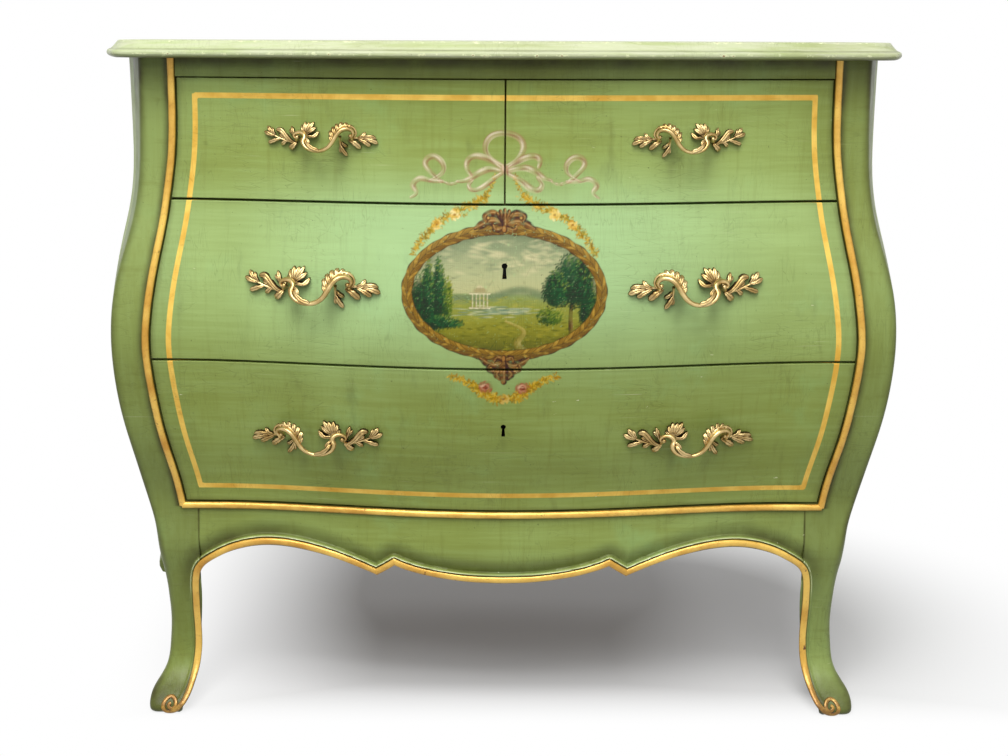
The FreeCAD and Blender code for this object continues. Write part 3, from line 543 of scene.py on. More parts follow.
# the top's pale cream scumble is dry-brushed paint and also a painted reflection of the light
PAINT_TOP = painted_wood("paint_top", "flat", darkening=0.06, wear=1.3, pale=0.8)
GILDING = gilding()
BRASS = cast_brass()
ALONG_X, ALONG_Y = (6.0, 90.0, 90.0), (90.0, 6.0, 90.0)
PINE = bare_wood("pine", (186, 150, 104), (140, 100, 60), ALONG_X)
PINE_SIDE = bare_wood("pine_side", (190, 156, 108), (146, 106, 66), ALONG_Y)
DRAWER_WOOD = bare_wood("drawer_wood", (204, 168, 118), (164, 120, 74), ALONG_Y, 0.5)
DRAWER_ACROSS = bare_wood("drawer_across", (204, 168, 118), (164, 120, 74), ALONG_X, 0.5)
IRON = plain_metal("iron", (96, 90, 84), 0.5)
STEEL = plain_metal("steel", (150, 146, 138), 0.4)


# ---------------------------------------------------------------- CAD nodes that stay

def wood_or_metal(node):
    """Material of a node that shows as the CAD made it, or None."""
    if node in ("back_panel", "bottom_board", "rear_top_rail", "drawer_rail_upper",
                "drawer_rail_lower"):
        return PINE
    if node.endswith(("_side_left", "_side_right")):
        return DRAWER_WOOD
    if node.startswith(("top_left_", "top_right_", "middle_", "bottom_")):
        return DRAWER_ACROSS
    if node.startswith("pull_screws"):
        return STEEL
    if node.startswith("lock_"):
        return IRON
    if "runners" in node or node == "centre_divider":
        return PINE_SIDE
    return None


for node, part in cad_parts.items():
    material = wood_or_metal(node)
    if material:
        part.data.materials.clear()
        part.data.materials.append(material)


# ---------------------------------------------------------------- drawer fronts

PICTURE = (-136.0, 136.0, 436.0, 792.0)
FRAME_TOP, FRAME_BOTTOM = 823.3, 310.9
PULL_PLACES = {"top": (225.4, 771.8), "middle": (236.7, 591.8), "bottom": (237.7, 391.3)}
KEYHOLE_HEAD = 0.19             # radius of a keyhole's round head, share of its height
FINE = 0.8                      # step of the mesh under the painted picture


def frame_line(x, z):
    """Signed distance to the painted gold frame, millimetres."""
    inset = np.interp(z, [400.0, 550.0, 700.0], [24.8, 24.2, 24.2])
    side = np.abs(x) - (field_edge(z) - inset)
    return np.max([side, z - FRAME_TOP, FRAME_BOTTOM - z], axis=0)


def glaze_and_shade_amount(x, z, high):
    """Dark glaze and painted shade near the beads, near the seams and under the rail, and a broad
    darkening outside the frame.
    """
    side = field_edge(z) - np.abs(x)
    near = [0.55 * fade(side, 9.0), 0.55 * fade(z - FIELD_BOTTOM, 9.0),
            0.45 * fade(RAIL_BOTTOM - z, 7.0), 0.25 * fade(high - z, 5.0)]
    return np.max(near, axis=0) + 0.20 * fade(side, 60.0)


def stains(x, z):
    """Faint dark runs below the pulls and the lower keyhole."""
    out = 0.22 * np.exp(-(x / 5.0) ** 2 - ((394.0 - z) / 14.0) ** 2)
    for cx, cz in PULL_PLACES.values():
        for side in (-1, 1):
            for off, drop, width, dark in ((-21, 26, 6.0, 0.30), (3, 22, 5.0, 0.16),
                                           (24, 30, 7.0, 0.24)):
                across = (x - side * cx - off - 1.5 * np.sin(z / 9.0)) / width
                down = (cz - drop - z) / 24.0
                out += dark * np.exp(-across ** 2 - down ** 2)
    return out


def even(low, high, step):
    """Even positions at most a step apart, with both ends."""
    return np.linspace(low, high, max(1, math.ceil((high - low) / step)) + 1)


def stops(low, high, fine_low, fine_high, coarse):
    """Positions from low to high: fine in a range, and close where both ends are eased."""
    fine_low, fine_high = max(low, fine_low), min(high, fine_high)
    middle = np.concatenate([even(low, fine_low, coarse)[:-1], even(fine_low, fine_high, FINE),
                             even(fine_high, high, coarse)[1:]])
    eased = [0.0, 0.35, 0.8, 1.5]
    inside = [v for v in middle if low + 2.0 < v < high - 2.0]
    return np.array(sorted([low + e for e in eased] + inside + [high - e for e in eased]))


def keyhole_outline(z_top, size):
    """Round head and tapered foot of a keyhole."""
    radius = KEYHOLE_HEAD * size
    head = [(radius * math.cos(a), z_top - radius + radius * math.sin(a))
            for a in np.radians(np.linspace(-60.0, 240.0, 20))]
    return head + [(-0.75 * radius, z_top - size), (0.75 * radius, z_top - size)]


def fill_keyhole(obj, ring, keyhole):
    """Joins the open window of a front to the keyhole and gives the hole its walls."""
    bm = bmesh.new()
    bm.from_mesh(obj.data)
    bm.verts.ensure_lookup_table()
    outer = [bm.verts[int(i)] for i in ring]
    inside, neck, walls = [], [], []
    for x, z in keyhole_outline(*keyhole):
        for group, depth in ((inside, 0.0), (neck, 0.7), (walls, FRONT_THICK - 0.5)):
            y = float(front_y(x, z)) + depth + BACK_Y
            group.append(bm.verts.new(Vector((x, y, z)) / MM))
    edges = []
    for group in (outer, inside):
        for pair in zip(group, group[1:] + group[:1]):
            edges.append(bm.edges.get(pair) or bm.edges.new(pair))
    bmesh.ops.triangle_fill(bm, edges=edges, use_beauty=True)
    for near, far in ((inside, neck), (neck, walls)):
        for i in range(len(near)):
            bm.faces.new((near[i - 1], near[i], far[i], far[i - 1]))
    bm.faces.new(walls)
    # points of the window that no face uses any more
    bmesh.ops.delete(bm, geom=[v for v in bm.verts if not v.link_faces], context="VERTS")
    for face in bm.faces:
        face.smooth = True
    bmesh.ops.recalc_face_normals(bm, faces=list(bm.faces))
    bm.to_mesh(obj.data)
    bm.free()


def drawer_front(drawer, low, high, fine_rows, side, keyhole):
    """Curved drawer front with eased edges, thickness and its keyhole."""
    def left(z):
        return EDGE_GAP - field_edge(z) if side != "right" else np.full_like(z, CENTRE_GAP / 2)

    def right(z):
        return field_edge(z) - EDGE_GAP if side != "left" else np.full_like(z, -CENTRE_GAP / 2)

    def distance_to_edge(x, z):
        return np.min([x - left(z), right(z) - x, z - low, high - z], axis=0)

    z_mid = np.array([0.5 * (low + high)])
    x_low, x_high = float(left(z_mid)[0]), float(right(z_mid)[0])
    rows = stops(low, high, *fine_rows, 3.0)
    cols = stops(x_low, x_high, *PICTURE[:2], 4.0)
    z, x = np.meshgrid(rows, cols, indexing="ij")
    # outside the picture the columns spread to the edges of the field
    reach, end = PICTURE[1], max(-x_low, x_high)
    share = (np.abs(x) - reach) / (end - reach)
    spread = np.sign(x) * (reach + share * (field_edge(z) - EDGE_GAP - reach))
    x = np.where(np.abs(x) > reach, spread, x)
    d = distance_to_edge(x, z)
    ease = 1.0 - np.sqrt(1.0 - (1.0 - np.clip(d / 1.2, 0, 1)) ** 2)
    wave = 0.10 * np.sin(x / 47.0 + z / 61.0) * np.sin(z / 23.0) * smooth_step(d / 15.0)
    front = behind_front(x, z, ease + wave)
    number = np.arange(x.size).reshape(x.shape)

    # a window round the keyhole is left open and filled after
    keep = np.ones((len(rows) - 1, len(cols) - 1), bool)
    if keyhole:
        z_top, size = keyhole
        half = KEYHOLE_HEAD * size + 2.5
        r0, c0 = np.searchsorted(rows, z_top - size - 2.5) - 1, np.searchsorted(cols, -half) - 1
        r1, c1 = np.searchsorted(rows, z_top + 2.5), np.searchsorted(cols, half)
        keep[r0:r1, c0:c1] = False
        ring = border(number[r0:r1 + 1, c0:c1 + 1])[:-1]

    # back of the board and its four edges
    rim = border(number)
    rim_back = len(front) + np.append(np.arange(len(rim) - 1), 0)
    back_z, t = np.meshgrid(np.linspace(low, high, 14), np.linspace(0, 1, 26), indexing="ij")
    back_x = left(back_z) + t * (right(back_z) - left(back_z))
    points = [front, behind_front(*front[rim[:-1]][:, [0, 2]].T, FRONT_THICK),
              behind_front(back_x, back_z, FRONT_THICK)]
    faces = [grid_faces(*x.shape)[keep.ravel()], strip(rim, rim_back),
             grid_faces(14, 26, start=len(front) + len(rim) - 1, flip=True)]
    obj = make_object("front_" + drawer, np.concatenate(points), np.concatenate(faces),
                      PAINT_FRONT)
    if keyhole:
        fill_keyhole(obj, ring, keyhole)
    finish_mesh(obj, 60.0, closed=False)

    x, y, z = case_points(obj)
    depth = y - front_y(x, z)
    is_front = depth < 3.0
    picture = sample_picture(x, z)
    picture[~is_front, 3] = 0.0
    if keyhole:
        # the hole's walls are painted black, a painted shade inside the hole
        near = (np.abs(x) < 5.0) & (np.abs(z - z_top + size / 2) < size * 0.6)
        picture[near & (depth > 0.5) & (depth < FRONT_THICK - 0.3)] = (0.002, 0.002, 0.001, 1.0)
    colours = obj.data.color_attributes.new("picture", "FLOAT_COLOR", "POINT")
    colours.data.foreach_set("color", picture.astype(np.float32).ravel())
    put_number(obj, "frame_line", np.where(is_front, frame_line(x, z), 50.0))
    put_number(obj, "edge", np.where(is_front, distance_to_edge(x, z), 3.0))
    # painted shade near the beads, seams and rail, and stains below the pulls and the lower
    # keyhole
    put_number(obj, "glaze_and_shade", np.clip(glaze_and_shade_amount(x, z, high) + stains(x, z), 0, 1))
    place(obj, "drawer_" + drawer, drawer + "_front")


# ---------------------------------------------------------------- painted decoration

SCALE = 2.0                     # canvas pixels per millimetre
WIDE = int((PICTURE[1] - PICTURE[0]) * SCALE)
TALL = int((PICTURE[3] - PICTURE[2]) * SCALE)
canvas = np.zeros((TALL, WIDE, 4))
grid_x = PICTURE[0] + (np.arange(WIDE) + 0.5) / SCALE
grid_z = PICTURE[2] + (np.arange(TALL) + 0.5) / SCALE


def blended(grid, rows, cols):
    """Values of a grid between its cells, at fractional rows and columns."""
    i, j = rows.astype(int), cols.astype(int)
    fi, fj = (rows - i)[..., None], (cols - j)[..., None]
    return (grid[i, j] * (1 - fi) * (1 - fj) + grid[i + 1, j] * fi * (1 - fj)
            + grid[i, j + 1] * (1 - fi) * fj + grid[i + 1, j + 1] * fi * fj)


def sample_picture(x, z):
    """Canvas colour at points, clear outside it; the festoon sits a little lower than drawn."""
    z = z - np.interp(z, [498.0, 510.0], [-1.5, 0.5])
    rows, cols = (z - PICTURE[2]) * SCALE - 0.5, (x - PICTURE[0]) * SCALE - 0.5
    last_row, last_col = TALL - 1.001, WIDE - 1.001
    inside = (rows > 0) & (cols > 0) & (rows < last_row) & (cols < last_col)
    out = blended(canvas, np.clip(rows, 0, last_row), np.clip(cols, 0, last_col))
    out[~inside] = 0.0
    return out


def window_of(x0, x1, z0, z1):
    """Part of the canvas over a range, and the places of its pixels."""
    def cells(low, high, start, size):
        ends = int((low - start) * SCALE), int((high - start) * SCALE) + 2
        return slice(*np.clip(ends, 0, size))

    rows, cols = cells(z0, z1, PICTURE[2], TALL), cells(x0, x1, PICTURE[0], WIDE)
    return (canvas[rows, cols], *np.meshgrid(grid_x[cols], grid_z[rows]))


def lay(part, colour, alpha):
    """Puts a colour, one or one per pixel, over a part of the canvas."""
    alpha = np.clip(alpha, 0, 1)[..., None]
    below = part[..., 3:] * (1 - alpha)
    total = alpha + below
    mixed = colour * alpha + part[..., :3] * below
    part[..., :3] = np.where(total > 1e-4, mixed / np.maximum(total, 1e-4), colour)
    part[..., 3:] = total


def tint(rgb):
    return np.array(linear(rgb)[:3])


def dab(x, z, length, width, angle, rgb, alpha, soft=0.35):
    """One oval touch of the brush."""
    reach = max(length, width) + 1.0
    part, gx, gz = window_of(x - reach, x + reach, z - reach, z + reach)
    gx, gz = gx - x, gz - z
    c, s = math.cos(angle), math.sin(angle)
    r = np.hypot((gx * c + gz * s) / length, (gz * c - gx * s) / width)
    lay(part, tint(rgb), alpha * smooth_step((1.0 - r) / soft))


def ribbon(points, widths, colours, alpha, count=46, broken=0.22, start=1.3):
    """Brushed ribbon along a curve, thinner in places; colours are middle, shade and light."""
    pts = curve_points(points, count)
    wid = np.interp(np.linspace(0, 1, count), np.linspace(0, 1, len(widths)), widths)
    (x0, z0), (x1, z1) = pts.min(0) - wid.max() - 2.0, pts.max(0) + wid.max() + 2.0
    part, gx, gz = window_of(x0, x1, z0, z1)
    best = np.full(gx.shape, 1e9)
    across, along = np.zeros((2,) + gx.shape)
    for k in range(count - 1):
        a, d = pts[k], pts[k + 1] - pts[k]
        length = max(1e-6, float(np.hypot(*d)))
        t = np.clip(((gx - a[0]) * d[0] + (gz - a[1]) * d[1]) / length ** 2, 0, 1)
        px, pz = gx - (a[0] + t * d[0]), gz - (a[1] + t * d[1])
        width = np.maximum(wid[k] + t * (wid[k + 1] - wid[k]), 0.05)
        score = np.hypot(px, pz) / width
        near = score < best
        best = np.where(near, score, best)
        across = np.where(near, (d[0] * pz - d[1] * px) / length / width, across)
        along = np.where(near, (k + t) / (count - 1), along)
    sheen = 0.5 + 0.5 * np.sin(along * 9.0 + across * 1.2)
    middle, dark, pale = (tint(c) for c in colours)
    mix_dark = smooth_step((across - 0.1) / 0.8)[..., None]
    mix_pale = (smooth_step((-across + 0.05) / 0.6) * sheen)[..., None]
    colour = middle * (1 - mix_dark) + dark * mix_dark
    colour = colour * (1 - mix_pale) + pale * mix_pale
    thin = 1.0 - broken * (1.0 - np.sin(along * 19.0 + start + 0.3 * across))
    lay(part, colour, alpha * smooth_step((1.08 - best) / 0.35) * thin)


def mirrored(points, side):
    """The points as drawn for the right (1), or turned over to the left (-1)."""
    return [(side * x, z) for x, z in points]


def flower(x, z, size, petals, heart):
    """Small full flower from soft petal dabs."""
    for ring, count in ((0.62, 8), (0.34, 6)):
        for k in range(count):
            a = 2 * math.pi * k / count + random.uniform(-0.3, 0.3)
            dab(x + ring * size * math.cos(a), z + ring * size * math.sin(a), 0.42 * size,
                0.24 * size, a + random.uniform(0.6, 1.6), random.choice(petals), 0.8, 0.6)
    dab(x, z, 0.30 * size, 0.24 * size, 0.3, heart, 0.7, 0.7)


def rose(x, z, size):
    """Full rose seen from the front."""
    dab(x, z, size, 0.88 * size, 0.2, (136, 66, 44), 0.9, 0.8)
    for radius, count, rgb in ((0.62, 9, (176, 98, 72)), (0.36, 7, (212, 146, 112)),
                               (0.15, 3, (156, 74, 54))):
        for k in range(count):
            a = 2 * math.pi * k / count + random.uniform(-0.5, 0.5)
            far = radius * size * random.uniform(0.75, 1.15)
            dab(x + far * math.cos(a), z + far * math.sin(a),
                0.34 * size * random.uniform(0.8, 1.3), 0.19 * size,
                a + math.pi / 2 + random.uniform(-0.5, 0.5), rgb, 0.7, 0.8)
    for _ in range(5):
        dab(x + random.gauss(-2.0, 1.6), z + random.gauss(2.4, 1.4), 0.3 * size, 0.13 * size,
            random.uniform(-0.5, 1.0), (238, 196, 158), 0.6, 0.9)
    dab(x + 0.12 * size, z - 0.14 * size, 0.22 * size, 0.15 * size, 0.4, (96, 38, 28), 0.6, 0.7)


def leaf_spray(points, spread, count, colours, size):
    """Soft leaves and buds scattered along a line."""
    for x, z in curve_points(points, count):
        a = random.uniform(0, 2 * math.pi)
        off = random.uniform(0, 1) ** 0.7 * spread
        scale = size * random.uniform(0.6, 1.25)
        dab(x + off * math.cos(a), z + off * math.sin(a), scale, 0.42 * scale,
            a + random.uniform(-0.5, 0.5), random.choice(colours), random.uniform(0.5, 0.92))


OVAL_CZ, OVAL_A, OVAL_B = 588.0, 119.5, 77.0
WREATH_HALF = 7.3


def tree(x, z, wide, high, colours, count):
    """Crown of overlapping leaf touches, lighter towards its upper left."""
    for k in range(14):
        a = random.uniform(0, 2 * math.pi)
        dab(x + 0.45 * wide * math.cos(a), z + 0.45 * high * math.sin(a), 0.55 * wide,
            0.5 * high, 0.0, colours[k % 2], 0.85, 0.6)
    for k in range(count):
        a = random.uniform(0, 2 * math.pi)
        d = random.random() ** 0.5
        light = 0.5 + 0.5 * d * math.sin(a + 0.7) + random.uniform(-0.25, 0.2)
        light = light * min(1.0, 0.35 + k / count)
        rgb = colours[int(np.clip(light * len(colours), 0, len(colours) - 1))]
        dab(x + wide * d * math.cos(a), z + high * d * math.sin(a), random.uniform(1.8, 4.2),
            random.uniform(0.8, 1.7), random.uniform(0.1, 1.5), rgb, 0.74, 0.8)


SKY_AND_GROUND = [(504, (62, 62, 20)), (520, (98, 96, 32)), (545, (136, 132, 42)),
                  (572, (142, 146, 62)), (586, (136, 150, 92)), (589, (186, 184, 132)),
                  (610, (178, 180, 132)), (640, (140, 150, 112)), (672, (98, 112, 82))]
CLOUD_LIGHT = (216, 206, 158)
CLOUDS = [(132, 144, 108), (150, 158, 118), (116, 130, 98), (168, 172, 128)]
HILLS = [(108, 126, 92), (120, 134, 94), (98, 118, 82)]
NEAR_GRASS = [(122, 122, 36), (92, 94, 28), (150, 144, 46), (74, 82, 26), (168, 158, 58)]
FAR_GRASS = [(150, 152, 62), (128, 142, 66), (170, 164, 76)]
WATER = [(132, 152, 122), (182, 186, 144), (104, 128, 104), (202, 200, 156)]
STONE = [(206, 196, 152), (132, 118, 80), (236, 228, 190)]
TRUNK = [(84, 60, 32), (44, 30, 16), (134, 104, 62)]
SAND = [(186, 164, 88), (140, 120, 50), (206, 188, 116)]
REEDS = [(82, 90, 28), (120, 118, 38), (60, 74, 24)]
DEEP_LEAVES = [(16, 44, 28), (24, 62, 38), (40, 84, 48), (70, 108, 52), (120, 136, 62)]
WARM_LEAVES = [(40, 66, 26), (76, 100, 36), (116, 132, 48), (160, 160, 70)]


def temple(x, z):
    """Round temple on the far bank."""
    dab(x, z - 1.5, 16, 2.6, 0.0, (92, 104, 50), 0.8, 0.6)
    for k in range(5):
        column = [(x - 9 + 4.5 * k, z + 8 * j) for j in range(3)]
        ribbon(column, [1.0, 0.9, 0.9], STONE, 0.9, 12)
    for rise in (-0.5, 17.0):
        ribbon([(x + off, z + rise) for off in (-12, 0, 12)], [1.4] * 3, STONE, 0.9, 12)
    for k in range(9):
        dab(x, z + 19 + 0.9 * k, max(1.0, 10.5 * math.cos(k / 6.0)), 1.0, 0.0,
            (166, 154, 108) if k < 6 else (200, 190, 146), 0.9, 0.4)


def landscape():
    """Generic park view inside the oval: sky, hills, lake, a round temple and trees."""
    part, gx, gz = window_of(-126, 126, 504, 672)
    r = np.hypot(gx / OVAL_A, (gz - OVAL_CZ) / OVAL_B)
    heights, shades = zip(*SKY_AND_GROUND)
    table = np.array([tint(c) for c in shades])
    colour = np.stack([np.interp(gz, heights, column) for column in table.T], -1)
    lay(part, colour, smooth_step((1.0 - r) / 0.02) * 0.97)
    for _ in range(210):
        x, z = random.uniform(-100, 100), random.gauss(630, 15)
        warm = math.exp(-((x - 22) / 42) ** 2 - ((z - 632) / 18) ** 2)
        rgb = CLOUD_LIGHT if random.random() < 0.2 + 0.7 * warm else random.choice(CLOUDS)
        dab(x, z, random.uniform(6, 15), random.uniform(2, 4.5), random.uniform(-0.3, 0.3), rgb,
            0.4, 1.0)
    for x in np.linspace(-112, 112, 90):
        top = 589 + 6 * math.sin(x / 31.0 + 1) + 3 * math.sin(x / 13.0)
        dab(x, top - 6, 10.0, 8.0, 0.1, random.choice(HILLS), 0.4, 1.0)
    for _ in range(700):
        x, depth = random.uniform(-114, 114), random.random() ** 0.8
        dab(x, 506 + depth * 78, random.uniform(3, 9), random.uniform(0.9, 2.0),
            random.uniform(-0.25, 0.25), random.choice(NEAR_GRASS if depth < 0.6 else FAR_GRASS),
            0.5, 0.9)
    for _ in range(120):
        dab(random.gauss(-4, 25), random.gauss(566, 3.0), random.uniform(5, 12),
            random.uniform(0.8, 1.5), 0.0, random.choice(WATER), 0.6, 0.7)
    temple(-30.0, 571.0)
    ribbon([(84, 526), (81, 560), (87, 600)], [3.6, 2.8, 1.6], TRUNK, 0.95, 20)
    for x, z, wide, high, leaves, count in (
            (104, 566, 14, 30, DEEP_LEAVES, 260), (86, 604, 29, 36, DEEP_LEAVES, 620),
            (62, 592, 17, 24, DEEP_LEAVES, 240), (56, 560, 17, 11, WARM_LEAVES, 200),
            (-97, 572, 26, 44, DEEP_LEAVES, 560), (-70, 580, 7.5, 27, WARM_LEAVES, 260),
            (-80, 592, 7.5, 41, DEEP_LEAVES, 260), (-93, 586, 7.5, 42, DEEP_LEAVES, 260),
            (-78, 552, 30, 8, DEEP_LEAVES, 260)):
        tree(x, z, wide, high, leaves, count)
    ribbon([(30, 512), (16, 527), (24, 541), (2, 554)], [6.5, 4.5, 3.0, 1.6], SAND, 0.6, 30)
    for _ in range(150):
        dab(random.uniform(-90, 90), random.uniform(508, 532), random.uniform(2, 6), 0.8,
            random.uniform(0.9, 2.2), random.choice(REEDS), 0.55, 0.8)
    # darker towards the rim, and nothing outside the wreath
    lay(part, tint((52, 50, 20)), 0.55 * smooth_step((r - 0.84) / 0.2))
    part[..., 3] *= 1 - smooth_step((r - 0.985) / 0.03)


def wreath():
    """Laurel wreath round the view, old gold and brown."""
    part, gx, gz = window_of(-136, 136, 495, 682)
    angle = np.arctan2((gz - OVAL_CZ) / OVAL_B, gx / OVAL_A)
    nx, nz = np.cos(angle) / OVAL_A, np.sin(angle) / OVAL_B
    t = ((gx - OVAL_A * np.cos(angle)) * nx
         + (gz - OVAL_CZ - OVAL_B * np.sin(angle)) * nz) / np.hypot(nx, nz) / WREATH_HALF
    turns = np.linspace(0, 2 * math.pi, 721)
    steps = np.hypot(np.diff(OVAL_A * np.cos(turns)), np.diff(OVAL_B * np.sin(turns)))
    length = np.concatenate([[0], np.cumsum(steps)])
    along = np.interp(np.mod(angle, 2 * math.pi), turns, length)
    strokes = 31
    phase = np.where(gx > 0, 1.0, -1.0) * along / length[-1] * 2 * math.pi * strokes
    wave = np.sin(phase - 4.6 * np.abs(t) + 0.5 * np.sin(along / 6.1))
    second = np.sin(0.6 * phase - 5.0 * np.abs(t - 0.2) + 0.8 * np.sin(along / 9.7))
    cut = np.maximum(fade(np.abs(wave), 0.5), 0.55 * fade(np.abs(second), 0.36))[..., None]
    noise = 0.5 + 0.25 * np.sin(along / 3.1 + gx / 2.3) + 0.25 * np.sin(along / 1.7 - gz / 2.9)
    vein = 0.6 * fade(np.abs(t - 0.08 * np.sin(along / 5.0)), 0.14)
    upper = 0.16 + 0.35 * np.sin(angle) * t + 0.3 * wave * noise + 0.25 * noise
    upper = np.clip(upper, 0, 1)[..., None]
    gold, pale = tint((112, 78, 26)), tint((206, 164, 70))
    brown, dark = tint((66, 40, 16)), tint((34, 20, 8))
    colour = (gold * (1 - upper) + pale * upper) * (1 - 0.75 * cut) + brown * 0.75 * cut
    line = np.maximum(vein, smooth_step((np.abs(t) - 0.72) / 0.24))[..., None]
    colour = colour * (1 - 0.85 * line) + dark * 0.85 * line
    ragged = 1.0 + 0.06 * np.sin(phase + 1.2) + 0.05 * np.sin(along / 4.3)
    lay(part, colour, smooth_step((ragged - np.abs(t)) / 0.14) * 0.97)


def scroll_leaf(points, widths):
    """Brown and gold acanthus leaf: a dark rim, the leaf and a light line along it."""
    inner = [(x + 0.5, z + 0.4) for x, z in points]
    for path, share, colours, alpha in (
            (points, 1.25, [(62, 38, 22), (40, 24, 12), (84, 52, 28)], 0.96),
            (points, 1.0, [(106, 68, 32), (64, 38, 18), (164, 120, 62)], 0.96),
            (inner, 0.26, [(196, 152, 92), (150, 106, 56), (220, 184, 124)], 0.6)):
        ribbon(path, [share * w for w in widths], colours, alpha)


def crest(cz, up, size):
    """Shell with scrolled leaves on both sides, upright (1) or hanging (-1)."""
    def leaf(side, points, widths):
        scroll_leaf([(side * x * size, cz + up * z * size) for x, z in points],
                    [w * size for w in widths])

    def spot(x, z, length, width, rgb, alpha):
        dab(x, cz + up * z * size, length * size, width * size, 0.0, rgb, alpha)

    for side in (-1, 1):
        leaf(side, [(2, -4), (13, -1), (24, -5), (31, -9)], [3.4, 4.6, 3.8, 1.4])
        leaf(side, [(3, 2), (12, 7), (20, 4), (19, -1)], [2.8, 3.4, 3.0, 1.8])
        leaf(side, [(2, -8), (9, -10), (12, -6)], [2.6, 2.8, 1.6])
        spot(side * 17.5 * size, 1.5, 3.0, 2.8, (96, 60, 32), 0.9)
        spot(side * 17.0 * size, 2.1, 1.5, 1.4, (214, 170, 92), 0.85)
    for turn in (-0.95, 0.95, -0.5, 0.5, 0.0):
        x, z = 9.5 * math.sin(turn), 9.5 * math.cos(turn) + 1 / size
        leaf(1, [(0, -6), (0.5 * x, 2), (x, z)], [2.2, 2.8, 1.7])
    spot(0.0, -9.5, 3.6, 5.2, (80, 50, 26), 0.95)
    spot(-0.6, -9.0, 2.2, 3.8, (172, 122, 62), 0.9)


def bow_knot():
    """Pink ribbon bow with long fluttering ends."""
    def loop(points, widths, alpha=0.52):
        wide = [1.5 * w for w in widths]
        ribbon(points, wide, [(198, 162, 130), (164, 108, 86), (232, 216, 184)], alpha)
        for move, rgb, start in ((-1.1, (240, 228, 202), 0.4), (1.4, (138, 82, 62), 3.4)):
            line = [(x + move, z - move) for x, z in points]
            ribbon(line, [0.34 * w for w in wide], [rgb] * 3, alpha, 46, 0.5, start)

    loop([(-2, 741), (-18, 751), (-24, 764), (-17, 777), (0, 781), (17, 775), (22, 762),
          (14, 748), (2, 741)], [1.6, 2.2, 2.6, 2.9, 2.8, 3.0, 3.0, 2.4, 1.6])
    loop([(-4, 738), (-18, 748), (-34, 753), (-45, 748), (-46, 738), (-41, 730)],
         [1.5, 2.8, 3.0, 2.6, 2.4, 1.6])
    loop([(4, 738), (16, 747), (32, 753), (42, 749), (41, 740)], [1.5, 2.8, 3.2, 2.8, 1.6])
    loop([(-5, 735), (-20, 737), (-34, 731), (-46, 724), (-58, 722)], [1.8, 3.0, 3.2, 2.4, 1.0])
    loop([(5, 735), (22, 739), (36, 735), (47, 727), (57, 724)], [1.8, 3.0, 3.2, 2.4, 1.0])
    loop([(-4, 732), (-16, 724), (-28, 715), (-40, 712), (-44, 718), (-40, 724)],
         [1.4, 2.2, 2.4, 2.0, 1.8, 1.4], 0.6)
    loop([(5, 731), (18, 724), (30, 715), (40, 712), (45, 718), (40, 727)],
         [1.8, 2.8, 3.2, 2.8, 2.4, 1.6])
    for side in (-1, 1):
        loop(mirrored([(92, 722), (76, 733), (77, 746), (89, 752), (97, 744), (90, 733),
                       (78, 722)], side), [1.0, 2.0, 2.6, 3.0, 2.6, 2.2, 1.6])
        loop(mirrored([(76, 722), (92, 723), (104, 725), (112, 717), (108, 709), (115, 702)],
                      side), [1.4, 2.2, 2.6, 2.8, 2.0, 1.0])
        loop(mirrored([(57, 722), (66, 719), (76, 722)], side), [1.0, 1.5, 1.2], 0.45)
    dab(0, 737, 6.0, 8.4, 0.0, (186, 148, 118), 0.9, 0.6)
    dab(-2.5, 739, 2.2, 6.0, 0.1, (224, 200, 164), 0.8, 0.7)
    dab(3.2, 733, 1.8, 5.6, 0.1, (150, 100, 78), 0.7, 0.7)


def side_sprays():
    """Gold sprays with two flowers each, over both shoulders of the wreath."""
    gold = [(196, 158, 48), (176, 136, 34), (212, 178, 76), (150, 140, 46), (132, 108, 28)]
    for side in (-1, 1):
        path = mirrored([(22, 704), (44, 692), (74, 677), (98, 655), (112, 634)], side)
        leaf_spray(path, 5.0, 230, gold, 3.0)
        leaf_spray(path[:4], 8.0, 150, gold, 2.6)
        leaf_spray(mirrored([(12, 730), (17, 716), (26, 703)], side), 2.6, 60, gold, 2.2)
        flower(side * 61, 682, 9.0, [(232, 202, 112), (242, 222, 156), (216, 174, 76)],
               (176, 120, 44))
        flower(side * 83, 670, 8.0, [(222, 180, 78), (234, 204, 124), (196, 146, 50)],
               (150, 92, 34))


def festoon():
    """Gold festoon with roses below the wreath, on the bottom drawer."""
    gold = [(200, 156, 22), (212, 172, 44), (176, 130, 12), (142, 120, 20), (224, 190, 76)]
    for side in (-1, 1):
        leaf_spray(mirrored([(66, 486), (48, 479), (34, 472), (20, 464), (4, 455)], side), 5.2,
                   210, gold, 3.0)
        leaf_spray(mirrored([(40, 474), (26, 462), (10, 452)], side), 5.6, 110, gold, 3.2)
    flower(0, 455, 9.0, [(214, 172, 70), (226, 192, 104), (190, 140, 46)], (160, 92, 44))
    rose(-23, 471, 11.5)
    rose(23, 470, 11.5)


def old_paint():
    """Small losses and a fine weave of crazing through the decoration."""
    loss = rng.random((TALL // 3 + 2, WIDE // 3 + 2, 1))
    rows, cols = np.meshgrid(np.arange(TALL) / 3.0, np.arange(WIDE) / 3.0, indexing="ij")
    canvas[..., 3:] *= 1.0 - 0.55 * smooth_step((blended(loss, rows, cols) - 0.87) / 0.1)
    across = 0.05 * np.sin(grid_x * 2.6 + 0.4 * np.sin(grid_x))
    down = 0.05 * np.sin(grid_z * 3.1 + 0.5 * np.sin(grid_z * 0.7))
    weave = (1.0 + across + down[:, None])[..., None]
    canvas[..., :3] = np.maximum(0.94 * canvas[..., :3] * weave - 0.014, 0.001)


